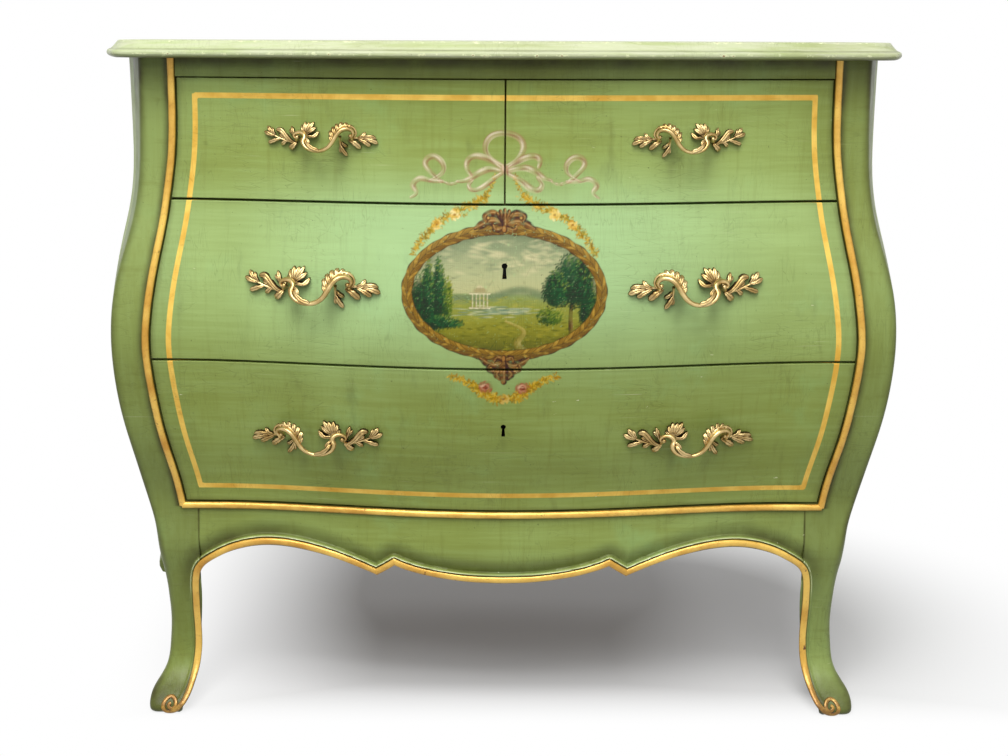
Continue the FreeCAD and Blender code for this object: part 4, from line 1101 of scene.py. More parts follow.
landscape()
side_sprays()
wreath()
bow_knot()
crest(676.0, 1, 1.18)
crest(499.0, -1, 0.96)
for side in (-1, 1):
    scroll_leaf(mirrored([(2.0, 495), (9.0, 489), (5.0, 483)], side), [3.0, 4.2, 2.6])
scroll_leaf([(0, 497), (0, 488), (0, 478)], [3.6, 6.0, 3.2])
festoon()
old_paint()

HALF_GAP = SEAM_GAP / 2
TOP_DRAWERS = (UPPER_SEAM + HALF_GAP, RAIL_BOTTOM - EDGE_GAP, (694, 792))
# name, lower and upper edge, rows with a fine mesh, side, top and height of the keyhole
drawer_front("top_left", *TOP_DRAWERS, "left", None)
drawer_front("top_right", *TOP_DRAWERS, "right", None)
drawer_front("middle", LOWER_SEAM + HALF_GAP, UPPER_SEAM - HALF_GAP, (492, 694), None,
             (625.0, 19.0))
drawer_front("bottom", FIELD_BOTTOM + EDGE_GAP, LOWER_SEAM - HALF_GAP, (436, 492), None,
             (418.0, 17.0))


# ---------------------------------------------------------------- rail and apron

ARCH = [(404, 198.2), (396.4, 205.6), (378.9, 216.7), (360.3, 225.3), (338.5, 231.5),
        (315.6, 234.6), (293.4, 234.5), (271.2, 232.1), (248.9, 227.8), (225.6, 221.7),
        (201.3, 213.2), (181, 204.8), (165.8, 197.8)]
HOOK = [(165.8, 197.8), (157.9, 203.2), (149.9, 208.8), (142.0, 214.4)]
DIP = [(142.0, 214.4), (128.6, 208.8), (112.2, 203.6), (92.1, 198.8), (64, 194.3),
       (34, 191.4), (0, 190.4)]
APRON_BELOW, LIP_AT = 5.6, 6.9      # from the bead's centre line, millimetres


def lower_edge_line():
    """Centre line of the apron's bead, from the left-hand leg to the right-hand one."""
    runs = [curve_points(part, 10 * (len(part) - 1) + 1)[:-1]
            for part in (DIP[::-1], HOOK[::-1], ARCH[::-1])]
    right = np.concatenate(runs + [np.array([ARCH[0]])])
    return np.concatenate([right[:0:-1] * np.array([-1.0, 1.0]), right])


EDGE_LINE = lower_edge_line()


def distance_to_line(x, z, line):
    """Distance from points to a polyline."""
    best = np.full(np.shape(x), 1e9)
    for a, d in zip(line[:-1], np.diff(line, axis=0)):
        t = np.clip(((x - a[0]) * d[0] + (z - a[1]) * d[1]) / max(1e-9, d @ d), 0, 1)
        best = np.minimum(best, np.hypot(x - a[0] - t * d[0], z - a[1] - t * d[1]))
    return best


def relief(d):
    """Height of the carved lip and cove at a distance from the bead's centre line."""
    cove = fade(d - 9.0, 22.0) * smooth_step((d - LIP_AT) / 3.0)
    return 2.0 * line_at(d, LIP_AT, 1.0) - 4.6 * cove


def relief_painted_shade(d):
    """Painted shade: a dark line beside the gilding, a clean lip, and a dark cove that fades out.
    """
    cove = 0.62 * smooth_step((d - 7.4) / 1.2) * fade(d - 7.6, 20.0)
    return np.maximum(line_at(d, 5.3, 0.8), cove)


def lip_rub_and_highlight(d):
    """Pale line on top of the carved lip: rubbed paint and a painted highlight."""
    return 1.36 * line_at(d, 6.8, 0.75)


def curved_board(name, x, z, depth, back_rows, angle):
    """Board that follows the front; depth is how far its face lies behind that surface."""
    n, m = x.shape
    back_x, back_z = x[back_rows], z[back_rows]
    low, high = np.arange(m), np.arange(n * m - 1, (n - 1) * m - 1, -1)
    back_high = high + len(back_x) * m
    points = [behind_front(x, z, depth), behind_front(back_x, back_z, FRONT_THICK)]
    faces = [grid_faces(n, m), grid_faces(len(back_x), m, start=n * m, flip=True),
             strip(low, low + n * m), strip(high, back_high)]
    obj = make_object(name, np.concatenate(points), np.concatenate(faces), PAINT_RAIL)
    finish_mesh(obj, angle, closed=False)
    return obj


def top_rail():
    rows = np.append(RAIL_BOTTOM + np.array([0.0, 0.4, 1.2, 3.0, 6.0]),
                     [856, 860, 864, 868, BODY_TOP])
    z, t = np.meshgrid(rows, np.linspace(-1, 1, 240), indexing="ij")
    ease = np.clip(1.0 - (z - RAIL_BOTTOM), 0, 1) ** 2 * 0.8
    obj = curved_board("rail_top", t * field_edge(z), z, ease, slice(None), 60.0)
    x, y, z = case_points(obj)
    put_number(obj, "edge", np.where(y < front_y(x, z) + 3, z - RAIL_BOTTOM, 5.0))
    # painted shade on the rail, darkest right under the top board
    put_number(obj, "glaze_and_shade", 0.46 + 0.44 * smooth_step((z - 856) / 10.0))
    place(obj, "carcass", "top_rail")


def apron():
    x = np.unique(np.concatenate([np.linspace(-404, 404, 440), np.linspace(-172, -136, 46),
                                  np.linspace(136, 172, 46)]))
    share = np.concatenate([np.linspace(0, 0.32, 26), np.linspace(0.34, 1, 22)])
    line_z = np.interp(x, *EDGE_LINE.T)
    low = line_z - APRON_BELOW
    z = low + share[:, None] * (FIELD_BOTTOM - 0.3 - low)
    x = np.broadcast_to(x, z.shape)
    out = np.where(z > line_z, relief(distance_to_line(x, z, EDGE_LINE)), 0.0)
    # the joint with the leg shows as a fine open line
    out = out - 0.7 * fade(np.abs(LEG_INNER_X - np.abs(x)), 0.9)
    obj = curved_board("apron", x, z, -out, [0, -1], 55.0)
    x, _, z = case_points(obj)
    d = distance_to_line(x, z, EDGE_LINE)
    put_number(obj, "edge", np.clip(np.abs(d - LIP_AT) * 1.1 + 0.35, 0, 12))
    # painted shade in the cove above the bead and under the bottom bead, a dark joint at the legs,
    # and darker towards the ends
    dark = np.max([relief_painted_shade(d), 0.7 * smooth_step((z - 272.0) / 10.0),
                   0.8 * fade(np.abs(LEG_INNER_X - np.abs(x)), 1.4)], axis=0)
    ends = 0.22 * smooth_step((np.abs(x) - 230.0) / 150.0)
    put_number(obj, "glaze_and_shade", np.clip(dark + 0.08 + ends, 0, 1) - lip_rub_and_highlight(d))
    place(obj, "carcass", "front_apron")


top_rail()
apron()


# ---------------------------------------------------------------- posts and legs

SOLE_RADIUS = 6.0
LEG_BAND = [(404.2, 198), (409.3, 188.6), (412.2, 175.9), (413.8, 159), (414.7, 129.2),
            (414.5, 99.3), (414.9, 74.6), (416.2, 55.7), (418.2, 41.6), (421.6, 27.3),
            (426.8, 16.3), (434.2, 9.3)]
LEG_BAND_POINTS = curve_points(LEG_BAND, 120)
LEG_AND_ARCH = np.concatenate([curve_points(ARCH, 100)[29::-1], LEG_BAND_POINTS])


def leg_relief(x, z):
    """Raised lip and cove beside the gilt band of the leg and round its top corner."""
    d = distance_to_line(x, np.full(len(x), z), LEG_AND_ARCH)
    high = smooth_step((z - 150.0) / 60.0)
    lip = (0.9 + 0.6 * high) * line_at(d, LIP_AT, 1.1)
    cove = smooth_step((d - 6.8) / 2.2) * fade(d - 8.0, 11.0 + 12.0 * high)
    ends = smooth_step((z - 6.0) / 16.0) * smooth_step((LEG_TOP - z) / 12.0)
    return (lip - (1.2 + 2.6 * high) * cove) * ends


def leg_inner(z):
    if z >= 287.6:
        return field_edge(z)
    return LEG_INNER_X if z >= 200.0 else half_width(z) - leg_size(z) + z / 400.0


def leg_depth(z, narrowing):
    """Size of a leg at a height; it turns into a thinner post above."""
    return leg_size(np.minimum(z, 240.0)) - narrowing * smooth_step((z - 200.0) / 70.0)


def bend(a, corner, b, count):
    """Points of a rounded corner, without its last one."""
    t = np.linspace(0, 1, count)[:-1, None]
    a, corner, b = np.array([a, corner, b])
    return [tuple(p) for p in (1 - t) ** 2 * a + 2 * t * (1 - t) * corner + t * t * b]


def post_ring(z):
    """Closed outline of the right-hand post or leg at one height."""
    width, depth = half_width(z), corner_depth(z)
    back = leg_depth(z, 12.0) - depth
    inner_slope = 0.29 * fade(z - 170.0, 50.0)
    outer_slope = -0.2 + 0.45 * smooth_step((z - 150.0) / 78.0)
    edge_x = leg_inner(z)
    corner = 5.0 + 11.0 * smooth_step((290.0 - z) / 110.0)
    near, far = (3.0, 8.0) if z < 196 else (0.4, 0.6)

    def inner(y):
        return edge_x + inner_slope * (y + depth)

    def outer(y):
        x = side_x(y, z)
        return min(x, width + outer_slope * (y + depth) + 1.0) if z < 230 else x

    xs = np.linspace(edge_x + near, width - corner, 30)
    ys = front_y(xs, np.full(30, z))
    if z < LEG_TOP:
        ys = ys - leg_relief(xs, z)
    pts = list(zip(xs, ys))
    side_start = -depth + corner
    pts += bend(pts.pop(), (width, -depth), (outer(side_start), side_start), 12)
    pts += [(outer(y), y) for y in np.linspace(side_start, back - far, 7)[:-1]]
    pts += bend((outer(back - far), back - far), (outer(back), back), (outer(back) - far, back), 5)
    pts += [(x, back) for x in np.linspace(outer(back) - far, inner(back) + far, 4)[:-1]]
    pts += bend((inner(back) + far, back), (inner(back), back), (inner(back - far), back - far), 5)
    pts += [(inner(y), y) for y in np.linspace(back - far, front_y(edge_x, z) + near, 5)]
    pts = np.array(pts)
    if z < SOLE_RADIUS:
        # the sole is rounded in
        middle = np.array([0.5 * (pts[:, 0].min() + pts[:, 0].max()), 0.5 * (back - depth)])
        inset = 0.85 * (SOLE_RADIUS - math.sqrt(z * (2 * SOLE_RADIUS - z)))
        pts = pts - unit(pts - middle) * inset
    return [(x, y, z) for x, y in pts]


def heights_of(*runs):
    """Heights from runs of (low, high, count)."""
    return np.unique(np.concatenate([np.linspace(*run) for run in runs]))


def front_post(name, mirror):
    """Front post and cabriole leg in one, as a ring of points at each height."""
    heights = heights_of((0, 30, 31), (30, 60, 21), (60, 196, 56), (196, 287.4, 44),
                         (287.8, BODY_TOP, 110))
    points, faces = ring_parts([post_ring(z) for z in heights])
    obj = make_object("post_" + name, points * mirror, faces, PAINT_UPRIGHT)
    finish_mesh(obj, 62.0)
    x, y, z = case_points(obj)
    x = np.abs(x)
    outer = np.hypot(x - (half_width(z) - 1), y + corner_depth(z) - 1)
    foot_wear = np.where(z < 30, np.clip(0.4 + (z - 2.0) * 0.16, 0.3, 9), 9)
    put_number(obj, "edge", np.minimum(np.clip(outer * 0.5 + 1.6, 0, 9), foot_wear))
    on_front = y < front_y(x, z) + 7.0
    on_leg = z < LEG_TOP
    band = distance_to_line(x, z, LEG_AND_ARCH)
    # painted shade beside the bead, in the leg's cove, along the gilt band and towards the outer
    # corner, and a dark joint at the top of the leg
    dark = np.max([
        0.85 * fade(x - (field_edge(z) + 9.4), 13.0) ** 2 * (z > 280),
        relief_painted_shade(band) * smooth_step((z - 120.0) / 80.0) * on_leg,
        0.9 * fade(band - 4.2, 2.6) * (z < 225),
        0.8 * fade(x - LEG_INNER_X, 1.2) * (z > 200) * (z < 287),
        0.55 * fade(outer, 13.0) ** 2], axis=0)
    # painted shade low on the post and under the top board
    low = 0.26 * line_at(z, 275.0, 70.0) + 0.40 * smooth_step((z - 780.0) / 70.0)
    foot = 0.92 * smooth_step((50.0 - z) / 36.0)
    glaze_and_shade = np.clip(np.where(on_front, dark, 0.3) + 0.04 + low + foot, 0, 1)
    lip = lip_rub_and_highlight(band) * smooth_step((z - 130.0) / 50.0) * on_leg * on_front
    put_number(obj, "glaze_and_shade", glaze_and_shade - lip)
    place(obj, "carcass", "front_post_" + name)


for name, mirror in SIDES:
    front_post(name, mirror)


# ---------------------------------------------------------------- gilt beads

def half_round(name, line, node, radius=BEAD_R, height=1.0):
    """Half-round moulding along a line on the front, mitred at its corners."""
    x, z = line.T
    places = behind_front(x, z, 0.0)
    moves = np.diff(places, axis=0)
    step = unit(moves)
    after = np.concatenate([step, step[-1:]])
    along = unit(np.concatenate([step[:1], step]) + after)
    stretch = 1.0 / np.maximum(0.4, (along * after).sum(1))
    normal = front_normal(x, z)
    across = unit(np.cross(along, normal))
    length = np.concatenate([[0], np.cumsum(np.linalg.norm(moves, axis=1))])
    angles = np.linspace(0, math.pi, 13)
    rows = []
    for a in angles:
        dent = DENT / BEAD_R * np.sin(length / 7.3 + 3 * a) * np.sin(length / 19.0 + 1.7)
        size = radius * (1.0 + dent)
        rows.append(places + across * (math.cos(a) * size * stretch)[:, None]
                    + normal * (math.sin(a) * size * height)[:, None])
    rows = np.array(rows)
    n, m = rows.shape[:2]
    number = np.arange(n * m).reshape(n, m)
    faces = grid_faces(n, m).tolist() + strip(number[0], number[-1]).tolist()
    faces += [number[::-1, 0].tolist(), number[:, -1].tolist()]
    obj = make_object(name, rows, faces, GILDING)
    finish_mesh(obj, 50.0, closed=False)
    put_number(obj, "edge", np.outer(np.sin(angles), np.broadcast_to(radius, m)))
    put_number(obj, "glaze_and_shade", 0.08 + 0.77 * smooth_step((64.0 - rows[..., 2]) / 50.0))
    place(obj, "carcass", node)


bead_z = FIELD_BOTTOM - BEAD_R - 0.2
heights = np.linspace(bead_z, BODY_TOP - 0.5, 300)
side_line = np.stack([field_edge(heights) + BEAD_R, heights], -1)
for name, mirror in SIDES:
    half_round("bead_side_" + name, side_line * mirror[:2], "bead_" + name)
end = side_line[0, 0] + 0.5
half_round("bead_lower", np.stack([np.linspace(-end, end, 420), np.full(420, bead_z)], -1),
           "bead_bottom")
half_round("bead_apron", EDGE_LINE, "apron_bead", height=0.75)

VOLUTE = [(436.3, 6.8), (442.8, 3.6), (450.0, 4.4), (453.6, 11.0), (450.4, 18.2), (443.2, 20.4),
          (437.4, 16.0), (438.2, 10.2), (443.4, 8.4), (446.5, 12.4), (443.5, 14.6)]
volute_path = curve_points([LEG_BAND_POINTS[-7], *VOLUTE], 70)
leg_line = np.concatenate([LEG_BAND_POINTS[:-6], volute_path[1:]])
leg_radius = np.interp(np.linspace(0, 1, len(leg_line)), [0, 0.08, 0.45, 0.6, 0.7, 1.0],
                       [4.8, 4.8, 4.7, 3.8, 3.1, 2.5])
for name, mirror in SIDES:
    half_round("leg_band_" + name, leg_line * mirror[:2], "leg_bead_" + name, leg_radius, 0.5)


# ---------------------------------------------------------------- top board

BOARD_SIDE, BOARD_FRONT, BOARD_RADIUS = 23.0, 30.0, 16.0
# moulded edge as (height, inset), and the insets of the rings under and over it
PROFILE = [(0, 7), (1.2, 3), (3.5, 0.4), (5.5, 0), (7.8, 0.6), (9.5, 2.6), (10.3, 5),
           (11.2, 6.6), (13, 8.6), (15.5, 11), (18, 13.2), (20, 15), (20.8, 16.2), (21, 17.4)]
UNDER_INSETS = (160.0, 60.0, 28.0, 12.0, 7.6)
OVER_INSETS = (19.0, 24.0, 34.0, 60.0, 110.0, 180.0)
BOARD_THICK = 21.0


def board_outline(inset, z):
    """Plan of the top board, moved in by an amount, as a ring of points."""
    width = half_width(BODY_TOP) + BOARD_SIDE
    depth = corner_depth(BODY_TOP) + BOARD_FRONT
    bow, swell = front_bow(BODY_TOP), side_bow(BODY_TOP)
    reach = width * bow_spread(BODY_TOP)

    def side(y):
        t = 1.0 + y / depth
        return width + SIDE_FLARE * t + 4.0 * swell * t * (1.0 - t) - inset

    def front(x):
        share = min(1.0, abs(x) / reach)
        return -(depth + bow * (1.0 - share ** 2) ** 2) + inset

    x_end = width - BOARD_RADIUS - inset
    pts = [(x, front(x)) for x in np.linspace(-x_end, x_end, 221)]
    y_start = -depth + BOARD_RADIUS + inset
    pts += bend(pts.pop(), (width - inset, -depth + inset), (side(y_start), y_start), 14)
    right = [(side(y), y) for y in np.linspace(y_start, -0.4 * inset, 80)]
    pts += right
    pts += [(x, -0.4 * inset) for x in np.linspace(right[-1][0], -right[-1][0], 60)[1:-1]]
    pts += [(-x, y) for x, y in reversed(right)]
    pts += bend((-side(y_start), y_start), (-width + inset, -depth + inset),
                (-x_end, front(x_end)), 14)[1:]
    return [(x, y, z) for x, y in pts]


def top_board():
    steps = np.array([(0, inset) for inset in UNDER_INSETS] + curve_points(PROFILE, 60).tolist()
                     + [(BOARD_THICK, inset) for inset in OVER_INSETS])
    rings = np.array([board_outline(inset, BODY_TOP + rise) for rise, inset in steps])
    points, faces = ring_parts(rings)
    x, y, z = points.T
    dent = DENT * np.sin(x / 23.0) * np.sin(x / 7.1 + y / 11.0)
    points[:, 1] += dent * (np.abs(z - BODY_TOP - 10.0) < 9.5)
    obj = make_object("board_top", points, faces, PAINT_TOP)
    finish_mesh(obj, 50.0)
    rise, inset = np.repeat(steps, rings.shape[1], axis=0).T
    edge = 0.55 * np.abs(rise - 5.0) + 0.5
    arris = 0.42 * np.hypot(rise - BOARD_THICK, inset - 17.0) + 0.25
    put_number(obj, "edge", np.minimum(edge, arris))
    # painted shade on the underside, and a line of painted shade where the moulding turns in above
    # the lip
    put_number(obj, "glaze_and_shade", np.where(rise < 1.5, 0.75, 0.5 * line_at(rise, 10.4, 1.0)))
    place(obj, "carcass", "top_board")


top_board()


# ---------------------------------------------------------------- sides and rear posts

REAR_DEPTH = 45.0
SIDE_THICK = 18.0
SIDE_LOWER = natural_spline([(0.0, 204), (0.08, 222), (0.2, 238), (0.32, 233), (0.42, 221),
                             (0.5, 216), (0.58, 221), (0.68, 233), (0.8, 238), (0.92, 222),
                             (1.0, 204)])


def side_panel(name, mirror):
    """Side of the case between its posts, with a scalloped lower edge."""
    t, v = np.meshgrid(np.linspace(0, 1, 110), np.linspace(0, 1, 150) ** 1.2, indexing="ij")
    low = SIDE_LOWER(t)
    z = low + v * (BODY_TOP - low)
    front = leg_depth(z, 12.0) - corner_depth(z)
    y = front + t * (-REAR_DEPTH - front)
    x = side_x(y, z)
    ease = 0.9 * np.clip(1.0 - (z - low) / 1.6, 0, 1) ** 2
    points = np.stack([np.stack([x - ease, y, z], -1), np.stack([x - SIDE_THICK, y, z], -1)])
    loop = border(np.arange(z.size).reshape(z.shape))
    faces = [grid_faces(*z.shape), grid_faces(*z.shape, start=z.size, flip=True),
             strip(loop, loop + z.size)]
    obj = make_object("side_" + name, points * mirror, np.concatenate(faces), PAINT_SIDE)
    finish_mesh(obj, 50.0)
    gap = np.tile((z - low).ravel(), 2)
    side = np.tile((np.minimum(t, 1 - t) * 400.0).ravel(), 2)
    put_number(obj, "edge", np.minimum(gap * 0.9 + 0.8, side * 0.4 + 2.2))
    # painted shade beside the posts, and darker paint along the scalloped edge
    put_number(obj, "glaze_and_shade", np.clip(0.55 * fade(gap, 14.0) + 0.45 * fade(side, 7.0), 0, 1))
    place(obj, "carcass", "side_panel_" + name)


def rear_ring(z):
    """Outline of the right-hand rear post or leg at one height."""
    inner = half_width(z) + side_flare(z) - leg_depth(z, 14.0)
    face = -REAR_DEPTH - 12.0 * smooth_step((52.0 - z) / 34.0)
    toe = 8.5 * smooth_step((56.0 - z) / 36.0) - 0.4 * max(0.0, 9.0 - z)
    near = 7.0 if z < 196 else 0.5

    def outer(y):
        return side_x(y, z) + toe

    pts = [(x, face) for x in np.linspace(inner + near, outer(face) - near, 6)[:-1]]
    pts += bend((outer(face) - near, face), (outer(face), face),
                (outer(face + near), face + near), 6)
    pts += [(outer(y), y) for y in np.linspace(face + near, 0.0, 6)]
    pts += [(x, 0.0) for x in np.linspace(outer(0.0), inner, 5)[1:]]
    pts += [(inner, y) for y in np.linspace(0.0, face + near, 4)[1:-1]]
    pts += bend((inner, face + near), (inner, face), (inner + near, face), 6)
    return [(x, y, z) for x, y in pts]


def rear_post(name, mirror):
    heights = heights_of((0, 60, 40), (60, 196, 40), (196.5, 300, 30), (300, BODY_TOP, 80))
    points, faces = ring_parts([rear_ring(z) for z in heights])
    obj = make_object("post_rear_" + name, points * mirror, faces, PAINT_UPRIGHT)
    finish_mesh(obj, 62.0)
    _, y, z = case_points(obj)
    put_number(obj, "edge", np.where(z < 30, 0.5 + 0.16 * z, 6.0))
    # the face towards the front is darker: painted shade under the case
    put_number(obj, "glaze_and_shade", np.where(y > -REAR_DEPTH + 2.0, 0.1, 0.45))
    place(obj, "carcass", "rear_post_" + name)


for name, mirror in SIDES:
    side_panel(name, mirror)
    rear_post(name, mirror)


# ---------------------------------------------------------------- pulls

class Casting:
    """Closed shapes of a pull, drawn in its own millimetres: along, up and out."""

    def __init__(self):
        self.points, self.faces, self.low = [], [], []

    def add(self, rings, low):
        """Body from a stack of rings; low is 0..1 for how deep each point lies."""
        points, faces = ring_parts(rings)
        start = len(self.points)
        self.points += points.tolist()
        self.faces += [[start + i for i in face] for face in faces]
        self.low += np.ravel(low).tolist()

    def tube(self, path, radii, count, around):
        """Bar along a curve, fluted along its length."""
        pts = curve_points(path, count)
        size = np.interp(np.linspace(0, 1, count), np.linspace(0, 1, len(radii)), radii)
        step = unit(np.gradient(pts, axis=0))
        side = unit(np.cross(step, np.array([0.0, 0.0, 1.0])))
        up = np.cross(side, step)
        lines, low = [], []
        for a in np.linspace(0, 2 * math.pi, around, endpoint=False):
            fluted = size * (1.0 + 0.10 * math.cos(3 * a + 1.2))
            lines.append(pts + (side * math.cos(a) + up * math.sin(a)) * fluted[:, None])
            low.append(np.full(count, max(0.0, -math.sin(a)) * 0.7))
        self.add(np.swapaxes(lines, 0, 1), np.transpose(low))

    def leaf(self, path, width, rise, lobes):
        """Domed leaf with a vein along a curve; its edge is lobed unless lobes is 0."""
        count = 16
        pts = curve_points(path, count)
        t = np.linspace(0.0, 1.0, count)
        half = 0.5 * width * np.interp(t, [0, 0.15, 0.45, 0.75, 0.92, 1.0],
                                       [0.45, 0.62, 0.92, 1.0, 0.72, 0.14])
        if lobes:
            half = half * (0.80 + 0.28 * np.mod(t * lobes + 0.35, 1.0))
        step = unit(np.gradient(pts[:, :2], axis=0))
        across = np.stack([-step[:, 1], step[:, 0]], -1) * half[:, None]
        dome = rise * np.interp(t, [0, 0.25, 0.7, 1.0], [0.8, 1.0, 1.0, 0.5])
        under = np.where(pts[:, 2] > 9.0, pts[:, 2] - 2.2, 0.1)
        lines, low = [], []
        for s in np.linspace(-1, 1, 11):
            vein = 0.55 * line_at(s, 0.0, 0.16)
            flute = 0.32 * math.cos(9.0 * s)
            out = pts[:, 2] + dome * (1 - 0.8 * s * s - vein + 0.3 * flute)
            lines.append(np.column_stack([pts[:, :2] + across * s, out]))
            low.append(np.full(count, min(1.0, 0.9 * s ** 4 + 1.1 * vein - 0.3 * flute)))
        for s in (0.85, 0.0, -0.85):
            lines.append(np.column_stack([pts[:, :2] + across * s, under]))
            low.append(np.ones(count))
        self.add(np.swapaxes(lines, 0, 1), np.transpose(low))

    def ball(self, u, v, out, radius):
        rings = []
        for a in np.linspace(-0.46 * math.pi, 0.5 * math.pi, 9):
            r = max(0.02, math.cos(a)) * radius
            rings.append([(u + r * math.cos(b), v + r * math.sin(b),
                           max(0.1, out + radius * math.sin(a)))
                          for b in np.linspace(0, 2 * math.pi, 14, endpoint=False)])
        self.add(rings, np.repeat(np.linspace(1.0, 0.0, 9), 14) ** 1.5)

    def mount(self, place_name, body, centre_x, centre_z, scale, side):
        """Puts a copy on the front, turned over where side is -1."""
        along, up, out = np.array(self.points).T
        x, z = centre_x + side * scale * along, centre_z + scale * up
        y = front_y(x, z) - out * (0.35 + 0.65 * scale)
        obj = make_object("handle_" + place_name, np.stack([x, y, z], -1), self.faces, BRASS)
        finish_mesh(obj, 70.0)
        put_number(obj, "glaze_and_shade", np.clip(self.low, 0, 1))
        place(obj, body, "pull_" + place_name)


# path, radii, points along and points round
TUBES = [
    ([(-34, 3, 13), (-37.5, 2.6, 13.2), (-38.6, 6.2, 13.5), (-35.3, 9.2, 13.8),
      (-29.5, 10.4, 14.5), (-23.6, 8, 17), (-22, 3.2, 20), (-24, -1.7, 23), (-21.3, -8.2, 26),
      (-12.9, -13.5, 28), (0.9, -15, 29), (13.3, -9.9, 29), (20.6, -0.9, 28), (25.9, 7.9, 26),
      (32.4, 14.8, 24), (40.7, 17.2, 21), (47.4, 14.8, 18), (49.6, 9.5, 15.5), (47, 5, 13.5),
      (44.6, 6.6, 13)],
     [1.6, 1.9, 2.4, 3.1, 3.5, 3.4, 2.9, 2.6, 2.9, 3.5, 3.7, 3.4, 2.8, 2.2, 1.8], 110, 16),
    ([(19.5, 1, 25), (25, 11.5, 23.5), (32.5, 19.5, 20.5), (42, 21.5, 17), (50.5, 17.5, 14),
      (53.3, 9.5, 11.5), (49.5, 2.5, 9)], [1.2, 1.9, 2.1, 2.0, 1.9, 1.7, 1.4], 50, 12),
    ([(-35, 0.5, 0.1), (-35, 0.5, 8), (-34.5, 3, 13)], [5.0, 4.0, 3.0], 10, 14),
    ([(47, 1.5, 0.1), (47, 1.5, 8), (47, 4.6, 13)], [4.8, 3.8, 2.8], 10, 14),
    ([(-36, -6, 5), (-49.7, -3, 5), (-62.5, 1.2, 4.5), (-73, 6, 3.5)], [2.2, 1.9, 1.6, 1.2],
     26, 10),
    ([(44, 0.5, 5), (54, 2.5, 5), (66, 1.5, 4.5), (76, 0, 3.5)], [2.2, 1.9, 1.6, 1.1], 26, 10),
    ([(30.5, 5, 16), (29.5, -3, 9), (30.2, -12, 5.5)], [2.2, 1.7, 1.3], 18, 10)]
# foot, tip and width of the ruffle's leaves, and tip and width of the shell's
RUFFLE = [((20, -3, 26), (17.5, 8.5, 21), 6), ((22, 2, 25), (17, 14.5, 20), 7),
          ((25, 8, 24), (21, 20, 18), 7), ((28, 12, 22.5), (27.5, 24, 17), 7),
          ((33, 16, 21), (34.5, 26, 16), 7), ((38, 18, 19), (42, 24.5, 15), 7),
          ((43, 17, 17), (49.5, 20, 14), 6.5)]
SHELL = [((-31.5, 13), 5.5), ((-28, 20.5), 6.5), ((-22.5, 25), 7), ((-16, 24.5), 7),
         ((-9.5, 25), 6.5), ((-6.5, 17.5), 6.5)]
SHELL_FOOT = (-23.0, 6.0)
# path, width, rise and lobes: two leaves on the lower bend, one on the shell, the sprays
LEAVES = [
    ([(-20, 0, 23), (-17.2, -4, 28), (-12, -9, 31), (-5, -12.2, 32), (1, -14, 31)], 6.8, 2.0, 3),
    ([(-22, 4, 21), (-17, 1, 25), (-14, -5, 28)], 5.0, 1.8, 2),
    ([(-23, 5.5, 8), (-13, 4, 9), (-7, 6, 7.5), (-2.8, 11.5, 4.5)], 6.5, 2.8, 2),
    ([(-69, 4.5, 4), (-77, 6.5, 5), (-85, 10.5, 2.5)], 6.8, 2.9, 2),
    ([(-70, 5, 4), (-75.5, 12, 5), (-79.8, 18, 2.5)], 6.5, 2.9, 2),
    ([(-68, 5.5, 4), (-71.5, 10.5, 5), (-73, 16, 3)], 5.5, 2.9, 2),
    ([(-60, 0.5, 4), (-70.5, -3, 5), (-79.5, -6.5, 2.5)], 7.0, 2.9, 3),
    ([(-36.5, -7, 4), (-44, -3.2, 8), (-51.4, 4.1, 9.0), (-57, 11, 8.8), (-62, 13.2, 7),
      (-67, 11.5, 4)], 8.0, 2.9, 0),
    ([(-52, 0, 5), (-57, 3.5, 5), (-62, 6.5, 3.5)], 5.5, 2.9, 2),
    ([(-49, -1, 4), (-54.5, -5, 5), (-59.5, -9.5, 2)], 7.0, 2.9, 2),
    ([(-36, -5, 5), (-42, -10.5, 6.5), (-47, -15.5, 2.5)], 9.5, 2.9, 3),
    ([(-38.5, 1, 5), (-40.7, 9.7, 6.5), (-43.8, 18.5, 3)], 5.8, 2.9, 2),
    ([(-39.5, 5, 5), (-43.5, 9.5, 5), (-47, 13.5, 3)], 4.4, 2.9, 2),
    ([(42, 0.5, 6), (51.4, -5.2, 7.5), (59.5, -13, 2.5)], 9.0, 2.9, 3),
    ([(55, 2.5, 5), (62.5, 6, 5.5), (67, 11, 2.5)], 6.0, 2.9, 2),
    ([(56, 1, 5), (66.5, -3.8, 6), (74, -9.5, 2)], 7.5, 2.9, 3),
    ([(64, 1.5, 5), (75, -0.8, 6), (85, -5.2, 2)], 7.5, 2.9, 3),
    ([(62, 4, 5), (73, 5, 6.5), (82.5, 1.5, 2.5)], 6.5, 2.9, 2),
    ([(30.5, -3, 7), (35.3, -7.5, 7), (40, -11, 3)], 5.4, 2.9, 2),
    ([(30, -8, 6), (33, -15, 6), (39.5, -24, 3)], 6.8, 2.9, 3),
    ([(30, -8, 5), (29, -14, 5), (30.5, -19.5, 3)], 4.6, 2.9, 2)]


